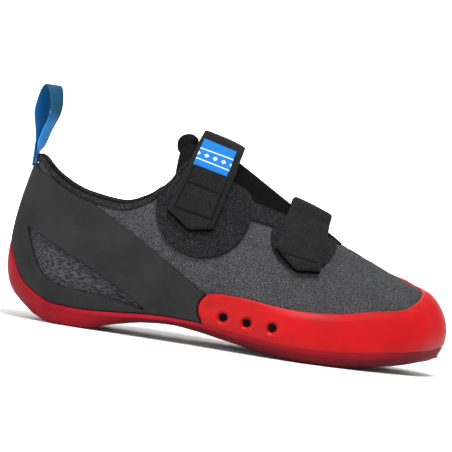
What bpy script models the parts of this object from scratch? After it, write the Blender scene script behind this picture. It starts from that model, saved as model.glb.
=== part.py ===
"""A right climbing shoe with two hook-and-loop straps, standing empty on its sole.

Metres. X runs from heel to toe, Z is up, and the lateral side (the wearer's right) faces -Y.
The origin is the middle of the flat spot under the heel. Every piece is worked out from one
last: a closed feather line around the sole, a top line (collar, throat and vamp ridge), and
a rib for each place on the feather line that rises to the top line.
"""

import math
from bisect import bisect_right
from typing import NamedTuple

import bmesh
import bpy
from mathutils import Vector
from mathutils.bvhtree import BVHTree

MM = 0.001
UP = Vector((0.0, 0.0, 1.0))

# Driving sizes of the shoe
LENGTH = 260.0 * MM
HEEL_OVERHANG = 39.4 * MM
BALL_WIDTH = 88.0 * MM
INSTEP_HEIGHT = 100.0 * MM

# Walls and thicknesses
UPPER_WALL = 2.0 * MM
CLEARANCE = 0.3 * MM
CUP_CLEARANCE = 0.45 * MM
RAND_SEAT = 0.6 * MM
BINDING_SEAM = 0.6 * MM
WELD = 0.002 * MM
HEEL_RAND_THICKNESS = 1.5 * MM
TOE_RAND_THICKNESS = 2.0 * MM
PATCH_THICKNESS = 1.2 * MM
STRAP_THICKNESS = 2.4 * MM
LABEL_THICKNESS = 0.5 * MM
TONGUE_THICKNESS = 3.2 * MM
TONGUE_LIP_THICKNESS = 6.5 * MM
INSOLE_THICKNESS = 2.5 * MM
LASTING_MARGIN = 13.0 * MM
BINDING_HEIGHT = 4.2 * MM
BINDING_THICKNESS = 3.6 * MM
OUTSOLE_LIP = 1.9 * MM
OUTSOLE_SIDE = 3.2 * MM

# Pull loop tape
LOOP_TAPE_WIDTH = 10.0 * MM
LOOP_TAPE_THICKNESS = 1.2 * MM
LOOP_HEIGHT = 45.2 * MM

# Vent holes of the toe rand, on the lateral side
VENT_DIAMETER = 4.2 * MM


class Sole(NamedTuple):
    """One station of the feather line: x a share of the length, widths of the ball width."""

    x: float
    lateral: float
    medial: float
    board: float
    ground: float
    edge_rise: float


# Heights are shares of the instep height: the board that the upper is lasted to, the
# underside, and how far the outsole's edge climbs above the board.
SOLE = (
    Sole(0.059, 0.000, 0.000, 0.120, 0.068, 0.310),
    Sole(0.082, 0.150, 0.150, 0.105, 0.034, 0.105),
    Sole(0.132, 0.262, 0.258, 0.095, 0.000, 0.030),
    Sole(0.190, 0.300, 0.290, 0.095, 0.000, 0.021),
    Sole(0.267, 0.320, 0.285, 0.105, 0.052, 0.022),
    Sole(0.332, 0.340, 0.275, 0.117, 0.087, 0.024),
    Sole(0.390, 0.363, 0.272, 0.124, 0.098, 0.021),
    Sole(0.444, 0.392, 0.285, 0.121, 0.086, 0.017),
    Sole(0.505, 0.432, 0.320, 0.100, 0.062, 0.010),
    Sole(0.567, 0.470, 0.370, 0.082, 0.037, 0.008),
    Sole(0.628, 0.494, 0.430, 0.066, 0.015, 0.008),
    Sole(0.690, 0.488, 0.482, 0.057, 0.000, 0.013),
    Sole(0.748, 0.449, 0.500, 0.057, 0.000, 0.018),
    Sole(0.802, 0.386, 0.489, 0.064, 0.014, 0.022),
    Sole(0.852, 0.305, 0.460, 0.080, 0.032, 0.024),
    Sole(0.902, 0.205, 0.410, 0.100, 0.053, 0.025),
    Sole(0.944, 0.075, 0.335, 0.120, 0.078, 0.027),
    Sole(0.981, -0.160, 0.160, 0.138, 0.096, 0.040),
)


class Top(NamedTuple):
    """One station of the top line: x of the length, y and gap of the ball width."""

    x: float
    z: float
    ridge: float
    gap: float
    crown: float


# The gap is half of the opening, zero where the vamp is closed. The crown is how far the
# instep rises above the throat's edges, as a share of the instep height like z.
TOP = (
    Top(0.044, 0.915, 0.000, 0.000, 0.00),
    Top(0.0555, 0.894, 0.000, 0.120, 0.00),
    Top(0.094, 0.806, 0.000, 0.222, 0.00),
    Top(0.163, 0.727, 0.000, 0.267, 0.00),
    Top(0.240, 0.702, 0.000, 0.284, 0.05),
    Top(0.294, 0.754, 0.000, 0.288, 0.14),
    Top(0.340, 0.872, 0.000, 0.270, 0.32),
    Top(0.382, 1.020, 0.010, 0.228, 0.18),
    Top(0.452, 0.975, 0.022, 0.172, 0.15),
    Top(0.528, 0.895, 0.034, 0.138, 0.12),
    Top(0.602, 0.812, 0.050, 0.118, 0.09),
    Top(0.675, 0.738, 0.068, 0.092, 0.06),
    Top(0.728, 0.692, 0.090, 0.052, 0.03),
    Top(0.767, 0.660, 0.108, 0.000, 0.00),
    Top(0.805, 0.622, 0.125, 0.000, 0.00),
    Top(0.844, 0.578, 0.142, 0.000, 0.00),
    Top(0.875, 0.545, 0.153, 0.000, 0.00),
    Top(0.898, 0.519, 0.160, 0.000, 0.00),
)


class Rib(NamedTuple):
    """Handles of a rib: outward ones share the ball width, upright ones the instep height."""

    low_out: float
    low_up: float
    top_out: float
    top_down: float


RIBS = (
    Rib(0.205, 0.100, 0.085, 0.295),
    Rib(0.165, 0.120, 0.070, 0.280),
    Rib(0.120, 0.160, 0.058, 0.260),
    Rib(0.090, 0.180, 0.056, 0.220),
    Rib(0.070, 0.200, 0.048, 0.200),
    Rib(0.058, 0.220, 0.070, 0.220),
    Rib(0.056, 0.240, 0.100, 0.240),
    Rib(0.056, 0.260, 0.125, 0.240),
    Rib(0.056, 0.260, 0.150, 0.180),
    Rib(0.055, 0.240, 0.182, 0.140),
    Rib(0.052, 0.220, 0.215, 0.100),
    Rib(0.052, 0.200, 0.240, 0.080),
    Rib(0.052, 0.180, 0.250, 0.060),
    Rib(0.056, 0.165, 0.250, 0.050),
    Rib(0.062, 0.150, 0.250, 0.042),
    Rib(0.075, 0.130, 0.255, 0.042),
    Rib(0.092, 0.110, 0.265, 0.048),
    Rib(0.088, 0.095, 0.285, 0.058),
)

TOE = len(SOLE) - 1
AROUND = 2 * TOE
COLLAR_END = 6


def along(share: float) -> float:
    """World x of a share of the length, measured from the rearmost point of the heel."""
    return share * LENGTH - HEEL_OVERHANG


def steady(xs, vs, x, flat_ends=False):
    """Monotone cubic interpolation, which never leaves the range of neighbouring values."""
    if x <= xs[0]:
        return vs[0]
    if x >= xs[-1]:
        return vs[-1]
    n = len(xs)
    k = bisect_right(xs, x) - 1

    def slope(i):
        if i in (0, n - 1):
            j = 0 if i == 0 else n - 2
            return 0.0 if flat_ends else (vs[j + 1] - vs[j]) / (xs[j + 1] - xs[j])
        before = (vs[i] - vs[i - 1]) / (xs[i] - xs[i - 1])
        after = (vs[i + 1] - vs[i]) / (xs[i + 1] - xs[i])
        if before * after <= 0.0:
            return 0.0
        return 2.0 * before * after / (before + after)

    span = xs[k + 1] - xs[k]
    t = (x - xs[k]) / span
    a, b = slope(k) * span, slope(k + 1) * span
    rise = vs[k + 1] - vs[k]
    return vs[k] + t * (a + t * (3 * rise - 2 * a - b + t * (a + b - 2 * rise)))


STATIONS = tuple(range(TOE + 1))
SOLE_X = tuple(along(row.x) for row in SOLE)


def at(table, column, k, scale, flat_ends=True):
    """A column of a station table at the station k, which may lie between two rows."""
    values = [getattr(row, column) for row in table]
    return steady(STATIONS, values, k, flat_ends) * scale


def board(x):
    """Height of the lasting board, where the upper turns under, at x."""
    return steady(SOLE_X, [row.board * INSTEP_HEIGHT for row in SOLE], x)


def ground(x):
    """Height of the outsole's underside at x: flat under the heel and under the ball."""
    return steady(SOLE_X, [row.ground * INSTEP_HEIGHT for row in SOLE], x)


def station(i):
    """Station and side (-1 lateral, +1 medial) of a place i on the walk around the sole."""
    i %= AROUND
    return (i, -1.0) if i <= TOE else (AROUND - i, 1.0)


def feather_node(j):
    """The feather line's own point j, in plan."""
    k, side = station(j)
    row = SOLE[k]
    width = row.lateral if side < 0 else row.medial
    return Vector((along(row.x), side * width * BALL_WIDTH, 0.0))


def feather(i):
    """A point of the feather line at the height of the board, and the way out from it."""
    j = math.floor(i)
    t = i - j
    p0, p1, p2, p3 = (feather_node((j + d) % AROUND) for d in (-1, 0, 1, 2))
    a, b = 0.5 * (p2 - p0), 0.5 * (p3 - p1)
    rise = p2 - p1
    point = p1 + t * (a + t * (3 * rise - 2 * a - b + t * (a + b - 2 * rise)))
    tangent = a + t * (2 * (3 * rise - 2 * a - b) + 3 * t * (a + b - 2 * rise))
    out = Vector((tangent.y, -tangent.x, 0.0)).normalized()
    point.z = board(point.x)
    return point, out


def top_point(k, side):
    """Top of the rib: a point of the collar, the throat's edge or the vamp's ridge."""
    gap = at(TOP, "gap", k, BALL_WIDTH, flat_ends=False)
    return Vector((
        along(at(TOP, "x", k, 1.0)),
        at(TOP, "ridge", k, BALL_WIDTH) + side * gap,
        at(TOP, "z", k, INSTEP_HEIGHT),
    ))


def rib(i, t):
    """The upper's outer surface: place i on the walk, t from the feather line to the top."""
    k, side = station(i)
    foot, out = feather(i)
    top = top_point(k, side)
    low = foot + out * at(RIBS, "low_out", k, BALL_WIDTH) + UP * at(RIBS, "low_up", k, INSTEP_HEIGHT)
    high = top + out * at(RIBS, "top_out", k, BALL_WIDTH) - UP * at(RIBS, "top_down", k, INSTEP_HEIGHT)
    s = 1.0 - t
    return foot * s ** 3 + low * (3 * s * s * t) + high * (3 * s * t * t) + top * t ** 3


def skin(i, t, offset):
    """A point at a distance outside the upper's outer surface."""
    step, small = 0.02, 0.004
    t_in = min(max(t, small), 0.985 - small)
    across = rib(i + step, t_in) - rib(i - step, t_in)
    upward = rib(i, t_in + small) - rib(i, t_in - small)
    normal = across.cross(upward).normalized()
    return rib(i, t) + normal * offset


def height_on_rib(i, height):
    """The t at which the rib at i reaches a height, which is a function of x."""
    low, high = 0.0, 1.0
    for _ in range(30):
        middle = 0.5 * (low + high)
        point = rib(i, middle)
        if point.z < height(point.x):
            low = middle
        else:
            high = middle
    return 0.5 * (low + high)


def sole_edge(i):
    """The t at which the outsole's upper edge meets the upper."""
    k, _ = station(i)
    foot, _ = feather(i)
    edge = foot.z + at(SOLE, "edge_rise", k, INSTEP_HEIGHT)
    return height_on_rib(i, lambda x: edge)


# Places from each station to the next: more where the heel and the toe turn tightly
PLACE_COUNTS = (5, 3, 2, 2, 1, 2, 2, 2, 2, 2, 2, 2, 2, 2, 3, 3, 3)


def walk(start, end):
    """Places from station to station along the walk, the same on both sides of the shoe."""
    places = []
    for j in range(start, end):
        n = j % AROUND
        count = PLACE_COUNTS[n if n < TOE else AROUND - n - 1]
        places += [j + d / count for d in range(count)]
    return places + [end]


# Meshes

def build(name, verts, faces, finish, smooth=40.0, closed=True):
    """One named object from vertices and faces, with its own material."""
    mesh = bpy.data.meshes.new(name)
    mesh.from_pydata([tuple(v) for v in verts], [], faces)
    work = bmesh.new()
    work.from_mesh(mesh)
    bmesh.ops.remove_doubles(work, verts=work.verts, dist=WELD)
    if closed:
        bmesh.ops.recalc_face_normals(work, faces=work.faces)
        if work.calc_volume(signed=True) < 0.0:
            bmesh.ops.reverse_faces(work, faces=work.faces)
    work.to_mesh(mesh)
    work.free()
    mesh.shade_smooth()
    mesh.set_sharp_from_angle(angle=math.radians(smooth))
    mesh.materials.append(finish)
    thing = bpy.data.objects.new(name, mesh)
    bpy.context.collection.objects.link(thing)
    return thing


def slab(name, outer, inner, finish, triangles=False):
    """A closed solid between two grids of points of the same size."""
    rows, cols = len(outer), len(outer[0])
    verts = [p for row in outer for p in row] + [p for row in inner for p in row]
    far = rows * cols
    faces = []
    for r in range(rows - 1):
        for c in range(cols - 1):
            a = r * cols + c
            quad = (a, a + 1, a + cols + 1, a + cols)
            faces.append(quad)
            faces.append(tuple(far + v for v in reversed(quad)))
    rim = [c for c in range(cols)]
    rim += [r * cols + cols - 1 for r in range(1, rows)]
    rim += [(rows - 1) * cols + c for c in range(cols - 2, -1, -1)]
    rim += [r * cols for r in range(rows - 2, 0, -1)]
    for a, b in zip(rim, rim[1:] + rim[:1]):
        faces.append((b, a, far + a, far + b))
    if triangles:
        faces = [t for f in faces for t in ((f[0], f[1], f[2]), (f[0], f[2], f[3]))]
    return build(name, verts, faces, finish)


def thicken(grid, thickness):
    """A second grid at a depth under the first, seen from outside the shoe."""
    rows, cols = len(grid), len(grid[0])
    below = []
    for r in range(rows):
        line = []
        for c in range(cols):
            down = grid[min(r + 1, rows - 1)][c] - grid[max(r - 1, 0)][c]
            side = grid[r][min(c + 1, cols - 1)] - grid[r][max(c - 1, 0)]
            line.append(grid[r][c] - side.cross(down).normalized() * thickness(r))
        below.append(line)
    return below


def turned(name, rings, finish):
    """A closed solid through rings of points; a ring that folds onto a line closes an end."""
    count = len(rings[0])
    verts = [p for ring in rings for p in ring]
    faces = []
    for r in range(len(rings) - 1):
        for c in range(count):
            d = (c + 1) % count
            faces.append((r * count + c, r * count + d, (r + 1) * count + d, (r + 1) * count + c))
    return build(name, verts, faces, finish)


def sweep(name, sections, finish):
    """A closed solid through sections of equal count, with its two ends filled."""
    count = len(sections[0])
    verts = [p for section in sections for p in section]
    faces = []
    for r in range(len(sections) - 1):
        for c in range(count):
            d = (c + 1) % count
            faces.append((r * count + c, r * count + d, (r + 1) * count + d, (r + 1) * count + c))
    faces.append(tuple(range(count)))
    last = (len(sections) - 1) * count
    faces.append(tuple(last + c for c in reversed(range(count))))
    return build(name, verts, faces, finish)


def prism(name, outline, y_from, y_to):
    """A cutter: an outline in the side view, drawn through from one side to the other."""
    near = [Vector((x, y_from, z)) for x, z in outline]
    far = [Vector((x, y_to, z)) for x, z in outline]
    cutter = sweep(name, [near, far], finishes["cutter"])
    cutter.hide_render = True
    cutter.display_type = "WIRE"
    return cutter


def cut(thing, cutter, operation="DIFFERENCE"):
    """Put a Boolean on an object."""
    tool = thing.modifiers.new(cutter.name, "BOOLEAN")
    tool.operation = operation
    tool.object = cutter
    tool.solver = "EXACT"
    return thing


def arc(cx, cz, radius, start, end, steps):
    """Points of an arc in the side view, angles in degrees from +X towards +Z."""
    angles = [math.radians(start + (end - start) * n / steps) for n in range(steps + 1)]
    return [(cx + radius * math.cos(a), cz + radius * math.sin(a)) for a in angles]


def linear(code):
    """Linear colour of an sRGB hex value."""
    channels = ((code >> shift & 255) / 255.0 for shift in (16, 8, 0))
    return [c / 12.92 if c <= 0.04045 else ((c + 0.055) / 1.055) ** 2.4 for c in channels] + [1.0]


def finish(name, code, roughness):
    """A plain finish: colour and roughness, never metallic on this shoe."""
    made = bpy.data.materials.new(name)
    made.use_nodes = True
    shader = made.node_tree.nodes["Principled BSDF"]
    shader.inputs["Base Color"].default_value = linear(code)
    shader.inputs["Roughness"].default_value = roughness
    shader.inputs["Metallic"].default_value = 0.0
    return made


for old in list(bpy.data.objects):
    bpy.data.objects.remove(old)

finishes = {
    "suede": finish("grey suede", 0x6A6A6C, 0.95),
    "red": finish("red rubber", 0xD8202C, 0.55),
    "crimson": finish("crimson outsole rubber", 0xC01C30, 0.60),
    "black": finish("black rand rubber", 0x38383A, 0.75),
    "felt": finish("charcoal felt", 0x343436, 0.98),
    "strap": finish("black strap webbing", 0x2E2E30, 0.90),
    "tongue": finish("black stretch fabric", 0x1C1C1E, 0.95),
    "binding": finish("dark knit binding", 0x2C2C2E, 0.95),
    "blue": finish("blue webbing", 0x1F86D8, 0.70),
    "label": finish("blue woven label", 0x1E88E0, 0.65),
    "foam": finish("grey insole foam", 0x4A4A4C, 0.90),
    "cutter": finish("cutter", 0x808080, 0.50),
}

# Spine of the sole: the line that its rings close on, held back from heel and toe
SPINE_HEEL, SPINE_TOE, SPINE_CREEP = 0.144, 0.862, 0.3


def spine(i):
    """The point in plan that the sole's rings close on at place i."""
    k, _ = station(i)
    x = feather(k)[0].x
    heel, toe = along(SPINE_HEEL), along(SPINE_TOE)
    if x < heel:
        x = heel + (x - heel) * SPINE_CREEP
    if x > toe:
        x = toe + (x - toe) * SPINE_CREEP
    lateral, medial = feather(k)[0], feather((AROUND - k) % AROUND)[0]
    return Vector((x, 0.5 * (lateral.y + medial.y), 0.0))


def lasted(i, reach):
    """A point of the lasting board, in from the feather line by a reach."""
    foot, _ = feather(i)
    inward = spine(i) - Vector((foot.x, foot.y, 0.0))
    point = foot + inward.normalized() * min(reach, 0.6 * inward.length)
    point.z = board(point.x)
    return point


def upper():
    """The hollow upper: a wall turned under to a lasting margin, open at collar and throat."""
    places = walk(0, AROUND)[:-1]
    rows = [0.06, 0.13, 0.21, 0.31, 0.42, 0.54, 0.66, 0.78, 0.89, 1.0]
    verts = []
    for i in places:
        verts.append(lasted(i, LASTING_MARGIN))
        verts.append(feather(i)[0])
        verts += [rib(i, t) for t in rows]
    tall = len(rows) + 2
    count = len(places)
    faces = []
    for c in range(count):
        d = (c + 1) % count
        for r in range(tall - 1):
            faces.append((c * tall + r, d * tall + r, d * tall + r + 1, c * tall + r + 1))
    shell = build("upper", verts, faces, finishes["suede"], smooth=50.0, closed=False)
    wall = shell.modifiers.new("wall", "SOLIDIFY")
    wall.thickness = UPPER_WALL
    wall.offset = -1.0
    wall.use_even_offset = True
    wall.use_rim = True
    return shell


# Rows of the cup around the heel, as shares of its height on the rib
CUP_SHARES = (0.2, 0.45, 0.72, 1.0)


def outsole():
    """The outsole: a plate under the upper that cups the heel, with a bevelled edge."""
    places = walk(0, AROUND)[:-1]
    rings = []
    for i in places:
        foot, out = feather(i)
        middle = spine(i)
        edge = sole_edge(i)
        section = [Vector((middle.x, middle.y, board(middle.x) - CLEARANCE))]
        section.append(lasted(i, LASTING_MARGIN) - UP * CLEARANCE)
        section.append(foot + out * CLEARANCE - UP * CLEARANCE)
        section += [skin(i, edge * share, CUP_CLEARANCE) for share in CUP_SHARES]
        for share in reversed(CUP_SHARES):
            wall = OUTSOLE_SIDE + (OUTSOLE_LIP - OUTSOLE_SIDE) * share ** 2
            section.append(skin(i, edge * share, CUP_CLEARANCE + wall))
        side = foot + out * (OUTSOLE_SIDE - 0.4 * MM)
        side.z = 0.45 * foot.z + 0.55 * ground(side.x)
        corner = foot + out * 1.2 * MM
        corner.z = ground(corner.x) + 0.9 * MM
        tread = foot - out * 1.6 * MM
        tread.z = ground(tread.x)
        section += [side, corner, tread]
        section.append(Vector((middle.x, middle.y, ground(middle.x))))
        rings.append(section)
    rings = [list(ring) for ring in zip(*rings)]
    return turned("outsole", rings, finishes["crimson"])


def insole():
    """The insole: a plate of foam on the turned-under margin."""
    places = walk(0, AROUND)[:-1]
    rings = [[] for _ in range(4)]
    lift = UPPER_WALL + 2.0 * CLEARANCE
    for i in places:
        foot, out = feather(i)
        middle = spine(i)
        rim = foot - out * (UPPER_WALL + 2.0 * CLEARANCE)
        rings[0].append(Vector((middle.x, middle.y, board(middle.x) + lift)))
        rings[1].append(Vector((rim.x, rim.y, board(rim.x) + lift)))
        rings[2].append(Vector((rim.x, rim.y, board(rim.x) + lift + INSOLE_THICKNESS)))
        rings[3].append(Vector((middle.x, middle.y, board(middle.x) + lift + INSOLE_THICKNESS)))
    return turned("insole", rings, finishes["foam"])


# The heel rand's upper edge: a nearly straight band from the heel's top down to the arch
BAND_HEEL, BAND_ARCH, BAND_BOW = (0.0300, 0.915), (0.459, 0.300), 0.020

# The window in the heel rand on each side, in the side view
WINDOW = (
    (0.0490, 0.524), (0.0565, 0.464), (0.0870, 0.306), (0.1060, 0.254), (0.1440, 0.223),
    (0.2230, 0.207), (0.3265, 0.168), (0.2690, 0.259), (0.1810, 0.369),
)

# The round rear end of the toe rand, in the side view
RAND_END_X, RAND_END_Z, RAND_END_RADIUS = 0.4805, 0.225, 9.5 * MM
RAND_END_TURN = 205.0
RAND_SEAM = 0.45 * MM

# Where the toe rand's upper edge lies on the ribs, place by place from lateral to medial
TOE_RAND_TOP = (
    0.240, 0.250, 0.275, 0.290, 0.321, 0.354, 0.398, 0.441, 0.514, 0.688, 0.842,
    0.920, 0.930, 0.860, 0.700, 0.550, 0.450, 0.380, 0.330, 0.290, 0.260,
)
TOE_RAND_FIRST, TOE_RAND_LAST = 7, 27
HEEL_RAND_REACH = 8
HEEL_RAND_CELLS, TOE_RAND_CELLS = 6, 7

# Vent holes, in the side view
VENTS = ((0.502, 0.190), (0.555, 0.180), (0.611, 0.174))
VENT_SIDES = 10


def in_side_view(outline):
    """World x and z of an outline given in shares of the length and the instep height."""
    return [(along(x), z * INSTEP_HEIGHT) for x, z in outline]


def band_line(x):
    """Height of the heel rand's upper edge at x."""
    (x0, z0), (x1, z1) = in_side_view((BAND_HEEL, BAND_ARCH))
    q = (x - x0) / (x1 - x0)
    return z0 + (z1 - z0) * q + BAND_BOW * INSTEP_HEIGHT * 4.0 * q * (1.0 - q)


def above_sole_edge(i):
    """The t at which a rand starts, a seam above the outsole's edge."""
    k, _ = station(i)
    edge = feather(i)[0].z + at(SOLE, "edge_rise", k, INSTEP_HEIGHT) + RAND_SEAM
    return height_on_rib(i, lambda x: edge)


def overlay(name, places, cells, low, high, thickness, finish):
    """A layer over the upper between two lines on its ribs, seated a clearance above it."""
    outer, inner = [], []
    for i in places:
        t0, t1 = low(i), high(i)
        rows = [t0 + (t1 - t0) * n / cells for n in range(cells + 1)]
        outer.append([skin(i, t, RAND_SEAT + thickness) for t in rows])
        inner.append([skin(i, t, RAND_SEAT) for t in rows])
    return slab(name, outer, inner, finish, triangles=True)


def heel_rand():
    """The black rand: a tensioned band round the heel and down to the arch, with windows."""
    places = walk(AROUND - HEEL_RAND_REACH, AROUND + HEEL_RAND_REACH)
    band = overlay("heel_rand", places, HEEL_RAND_CELLS, above_sole_edge,
                   lambda i: height_on_rib(i, band_line), HEEL_RAND_THICKNESS, finishes["black"])
    far_side = BALL_WIDTH
    cut(band, prism("window_cutter", in_side_view(WINDOW), -far_side, far_side))
    cx, cz = in_side_view(((RAND_END_X, RAND_END_Z),))[0]
    end = arc(cx, cz, RAND_END_RADIUS + RAND_SEAM, 90.0, RAND_END_TURN, 8)
    beyond, under = cx + 0.5 * BALL_WIDTH, cz - 0.5 * BALL_WIDTH
    end += [(end[-1][0], under), (beyond, under), (beyond, end[0][1])]
    return cut(band, prism("rand_end_cutter", end, -far_side, far_side))


def toe_rand():
    """The red rand around the toe, with three vent holes on the lateral side."""
    places = walk(TOE_RAND_FIRST, TOE_RAND_LAST)
    stops = tuple(range(TOE_RAND_FIRST, TOE_RAND_LAST + 1))
    rand = overlay("toe_rand", places, TOE_RAND_CELLS, above_sole_edge,
                   lambda i: steady(stops, TOE_RAND_TOP, i), TOE_RAND_THICKNESS, finishes["red"])
    cx, cz = in_side_view(((RAND_END_X, RAND_END_Z),))[0]
    behind, under = cx - 0.5 * BALL_WIDTH, cz - 0.5 * BALL_WIDTH
    tail = arc(cx, cz, RAND_END_RADIUS, RAND_END_TURN, 90.0, 8)
    end = [(behind, under), (tail[0][0], under)] + tail
    end += [(cx, cz + 0.5 * BALL_WIDTH), (behind, cz + 0.5 * BALL_WIDTH)]
    cut(rand, prism("rand_tail_cutter", end, -BALL_WIDTH, BALL_WIDTH))
    for number, (x, z) in enumerate(in_side_view(VENTS), start=1):
        last_turn = 360.0 - 360.0 / VENT_SIDES
        hole = arc(x, z, 0.5 * VENT_DIAMETER, 0.0, last_turn, VENT_SIDES - 1)
        cut(rand, prism(f"vent_cutter_{number}", hole, -BALL_WIDTH, -0.2 * BALL_WIDTH))
    return rand


# The felt patch: two discs joined by a bridge under the throat's edge, in the side view
LARGE_DISC_X, LARGE_DISC_Z, LARGE_DISC_RADIUS = 0.4245, 0.775, 27.5 * MM
SMALL_DISC_X, SMALL_DISC_Z, SMALL_DISC_RADIUS = 0.6535, 0.700, 19.5 * MM
LARGE_DISC_TURN, LARGE_DISC_STEPS = (180.0, 356.0), 22
SMALL_DISC_TURN, SMALL_DISC_STEPS = (170.0, 350.0), 18
PATCH_FIRST, PATCH_LAST = 4, 13
PATCH_ROWS = (0.31, 0.42, 0.54, 0.66, 0.78, 0.89, 1.0)


def patch_outline():
    """The patch's outline: the two discs, joined under the bridge, and a lid above them."""
    big_x, big_z = in_side_view(((LARGE_DISC_X, LARGE_DISC_Z),))[0]
    small_x, small_z = in_side_view(((SMALL_DISC_X, SMALL_DISC_Z),))[0]
    lid = big_z + 2.0 * LARGE_DISC_RADIUS
    outline = [(big_x - LARGE_DISC_RADIUS, lid)]
    outline += arc(big_x, big_z, LARGE_DISC_RADIUS, *LARGE_DISC_TURN, LARGE_DISC_STEPS)
    outline += arc(small_x, small_z, SMALL_DISC_RADIUS, *SMALL_DISC_TURN, SMALL_DISC_STEPS)
    outline.append((small_x + SMALL_DISC_RADIUS, lid))
    return outline


def loop_patch():
    """The felt patch that the straps close on, over the lateral quarter."""
    outer, inner = [], []
    for i in walk(PATCH_FIRST, PATCH_LAST):
        outer.append([skin(i, t, CLEARANCE + PATCH_THICKNESS) for t in PATCH_ROWS])
        inner.append([skin(i, t, CLEARANCE) for t in PATCH_ROWS])
    patch = slab("loop_patch", outer, inner, finishes["felt"], triangles=True)
    return cut(patch, prism("patch_cutter", patch_outline(), -BALL_WIDTH, 0.5 * BALL_WIDTH),
               "INTERSECT")


# The tongue: stations from its sewn front to its lip, and columns across from edge to edge,
# where -1 and 1 are the throat's edges and what is beyond them is tucked under the upper
TONGUE_STATIONS = (12.4, 11.6, 10.8, 10.0, 9.0, 8.0, 7.2, 6.45)
TONGUE_COLUMNS = (-1.7, -1.35, -1.0, -0.5, 0.0, 0.5, 1.0, 1.35, 1.7)
TONGUE_TUCK = 0.14
LIP_X = 0.379


def tongue_point(k, v):
    """The tongue's outer surface at station k and column v."""
    depth = UPPER_WALL + 2.0 * CLEARANCE
    if abs(v) >= 1.0:
        i = k if v < 0 else AROUND - k
        return skin(i, 1.0 - (abs(v) - 1.0) * TONGUE_TUCK, -depth)
    lateral, medial = tongue_point(k, -1.0), tongue_point(k, 1.0)
    arch = 1.0 - v * v
    point = lateral.lerp(medial, 0.5 * (v + 1.0))
    point.x += max(0.0, along(LIP_X) - point.x) * arch
    point.z += (at(TOP, "crown", k, INSTEP_HEIGHT) + top_point(k, 1.0).z - lateral.z) * arch
    return point


def tongue():
    """The tongue: a padded sheet that fills the throat and stands above it at the lip."""
    outer = [[tongue_point(k, v) for v in TONGUE_COLUMNS] for k in TONGUE_STATIONS]
    last = len(outer) - 1

    def padding(row):
        return TONGUE_THICKNESS + (TONGUE_LIP_THICKNESS - TONGUE_THICKNESS) * (row / last) ** 3

    return slab("tongue", outer, thicken(outer, padding), finishes["tongue"])


class Strap(NamedTuple):
    """A strap across the instep: its rear and front edges lie in planes along Y.

    The hub is a point inside the shoe at the height hub_z, from which the strap's course is
    measured: rear_x and front_x place the edges there, rear_lean and front_lean slope them
    forward as they rise. Angles go from the crown (0) to the lateral side (negative).
    """

    hub_y: float
    hub_z: float
    rear_x: float
    front_x: float
    rear_lean: float
    front_lean: float
    rear_end: float
    corner_end: float
    front_end: float
    medial_end: float
    rear_lift: float
    front_lift: float


UPPER_STRAP = Strap(0.02, 0.60, 0.329, 0.443, 0.29, 0.24, -65.0, -81.0, -77.0, 76.0,
                    2.4 * MM, 6.4 * MM)
LOWER_STRAP = Strap(0.06, 0.40, 0.572, 0.691, 0.228, 0.10, -56.0, -73.5, -70.0, 72.0,
                    2.2 * MM, 6.4 * MM)
STRAP_COLUMNS = (0.0, 0.27, 0.55, 1.0)
STRAP_ROWS = 18
LATERAL_SEAT = CLEARANCE + PATCH_THICKNESS + 1.0 * MM
MEDIAL_SEAT = 0.6 * MM

# The label on the strap's outer face: rows of the strap from its lower to its upper edge at
# the strap's rear, a slant of rows from rear to front and a bow at the strap's corner, which
# keep its edges straight, and its columns
LABEL_ROWS = (4.1, 4.8, 5.6, 6.3)
LABEL_SLANT = 1.7
LABEL_BOW = 0.6
LABEL_COLUMNS = (0.13, 0.38, 0.62, 0.87)
LABEL_SEAT = 0.8 * MM


def instep_form():
    """The closed form under the straps: both walls of the upper and the tongue's crown."""
    rows = []
    k = 5.5
    while k <= 14.0:
        lateral = [rib(k, t / 10.0) for t in range(1, 11)]
        medial = [rib(AROUND - k, t / 10.0) for t in range(10, 0, -1)]
        edge, far_edge = lateral[-1], medial[0]
        crown = at(TOP, "crown", k, INSTEP_HEIGHT)
        bridge = []
        for n in range(1, 8):
            v = n / 4.0 - 1.0
            bridge.append(edge.lerp(far_edge, 0.5 * (v + 1.0)) + UP * crown * (1.0 - v * v))
        rows.append(lateral + bridge + medial)
        k += 0.25
    verts = [p for row in rows for p in row]
    wide = len(rows[0])
    faces = []
    for r in range(len(rows) - 1):
        for c in range(wide - 1):
            a = r * wide + c
            faces.append((a, a + 1, a + wide + 1, a + wide))
    return BVHTree.FromPolygons(verts, faces)


def strap_point(form, strap, w, share):
    """The strap's inner face: w from its rear edge to its front, share from lateral end on."""
    corner = STRAP_COLUMNS[2]
    if w < corner:
        end = strap.rear_end + (strap.corner_end - strap.rear_end) * w / corner
    else:
        end = strap.corner_end + (strap.front_end - strap.corner_end) * (w - corner) / (1 - corner)
    turn = math.radians(end + (strap.medial_end - end) * share)
    lean = strap.rear_lean + (strap.front_lean - strap.rear_lean) * w
    hub = Vector((
        along(strap.rear_x + (strap.front_x - strap.rear_x) * w),
        strap.hub_y * BALL_WIDTH,
        strap.hub_z * INSTEP_HEIGHT,
    ))
    course = Vector((lean * math.cos(turn), math.sin(turn), math.cos(turn))).normalized()
    hit, normal, _, _ = form.ray_cast(hub, course)
    lift = strap.rear_lift + (strap.front_lift - strap.rear_lift) * w
    seat = LATERAL_SEAT if turn < 0.0 else MEDIAL_SEAT
    upright = math.cos(turn) ** 2
    stand = seat * (1.0 - upright) + lift * upright
    return hit + course * (stand / max(0.5, abs(course.dot(normal))))


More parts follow.
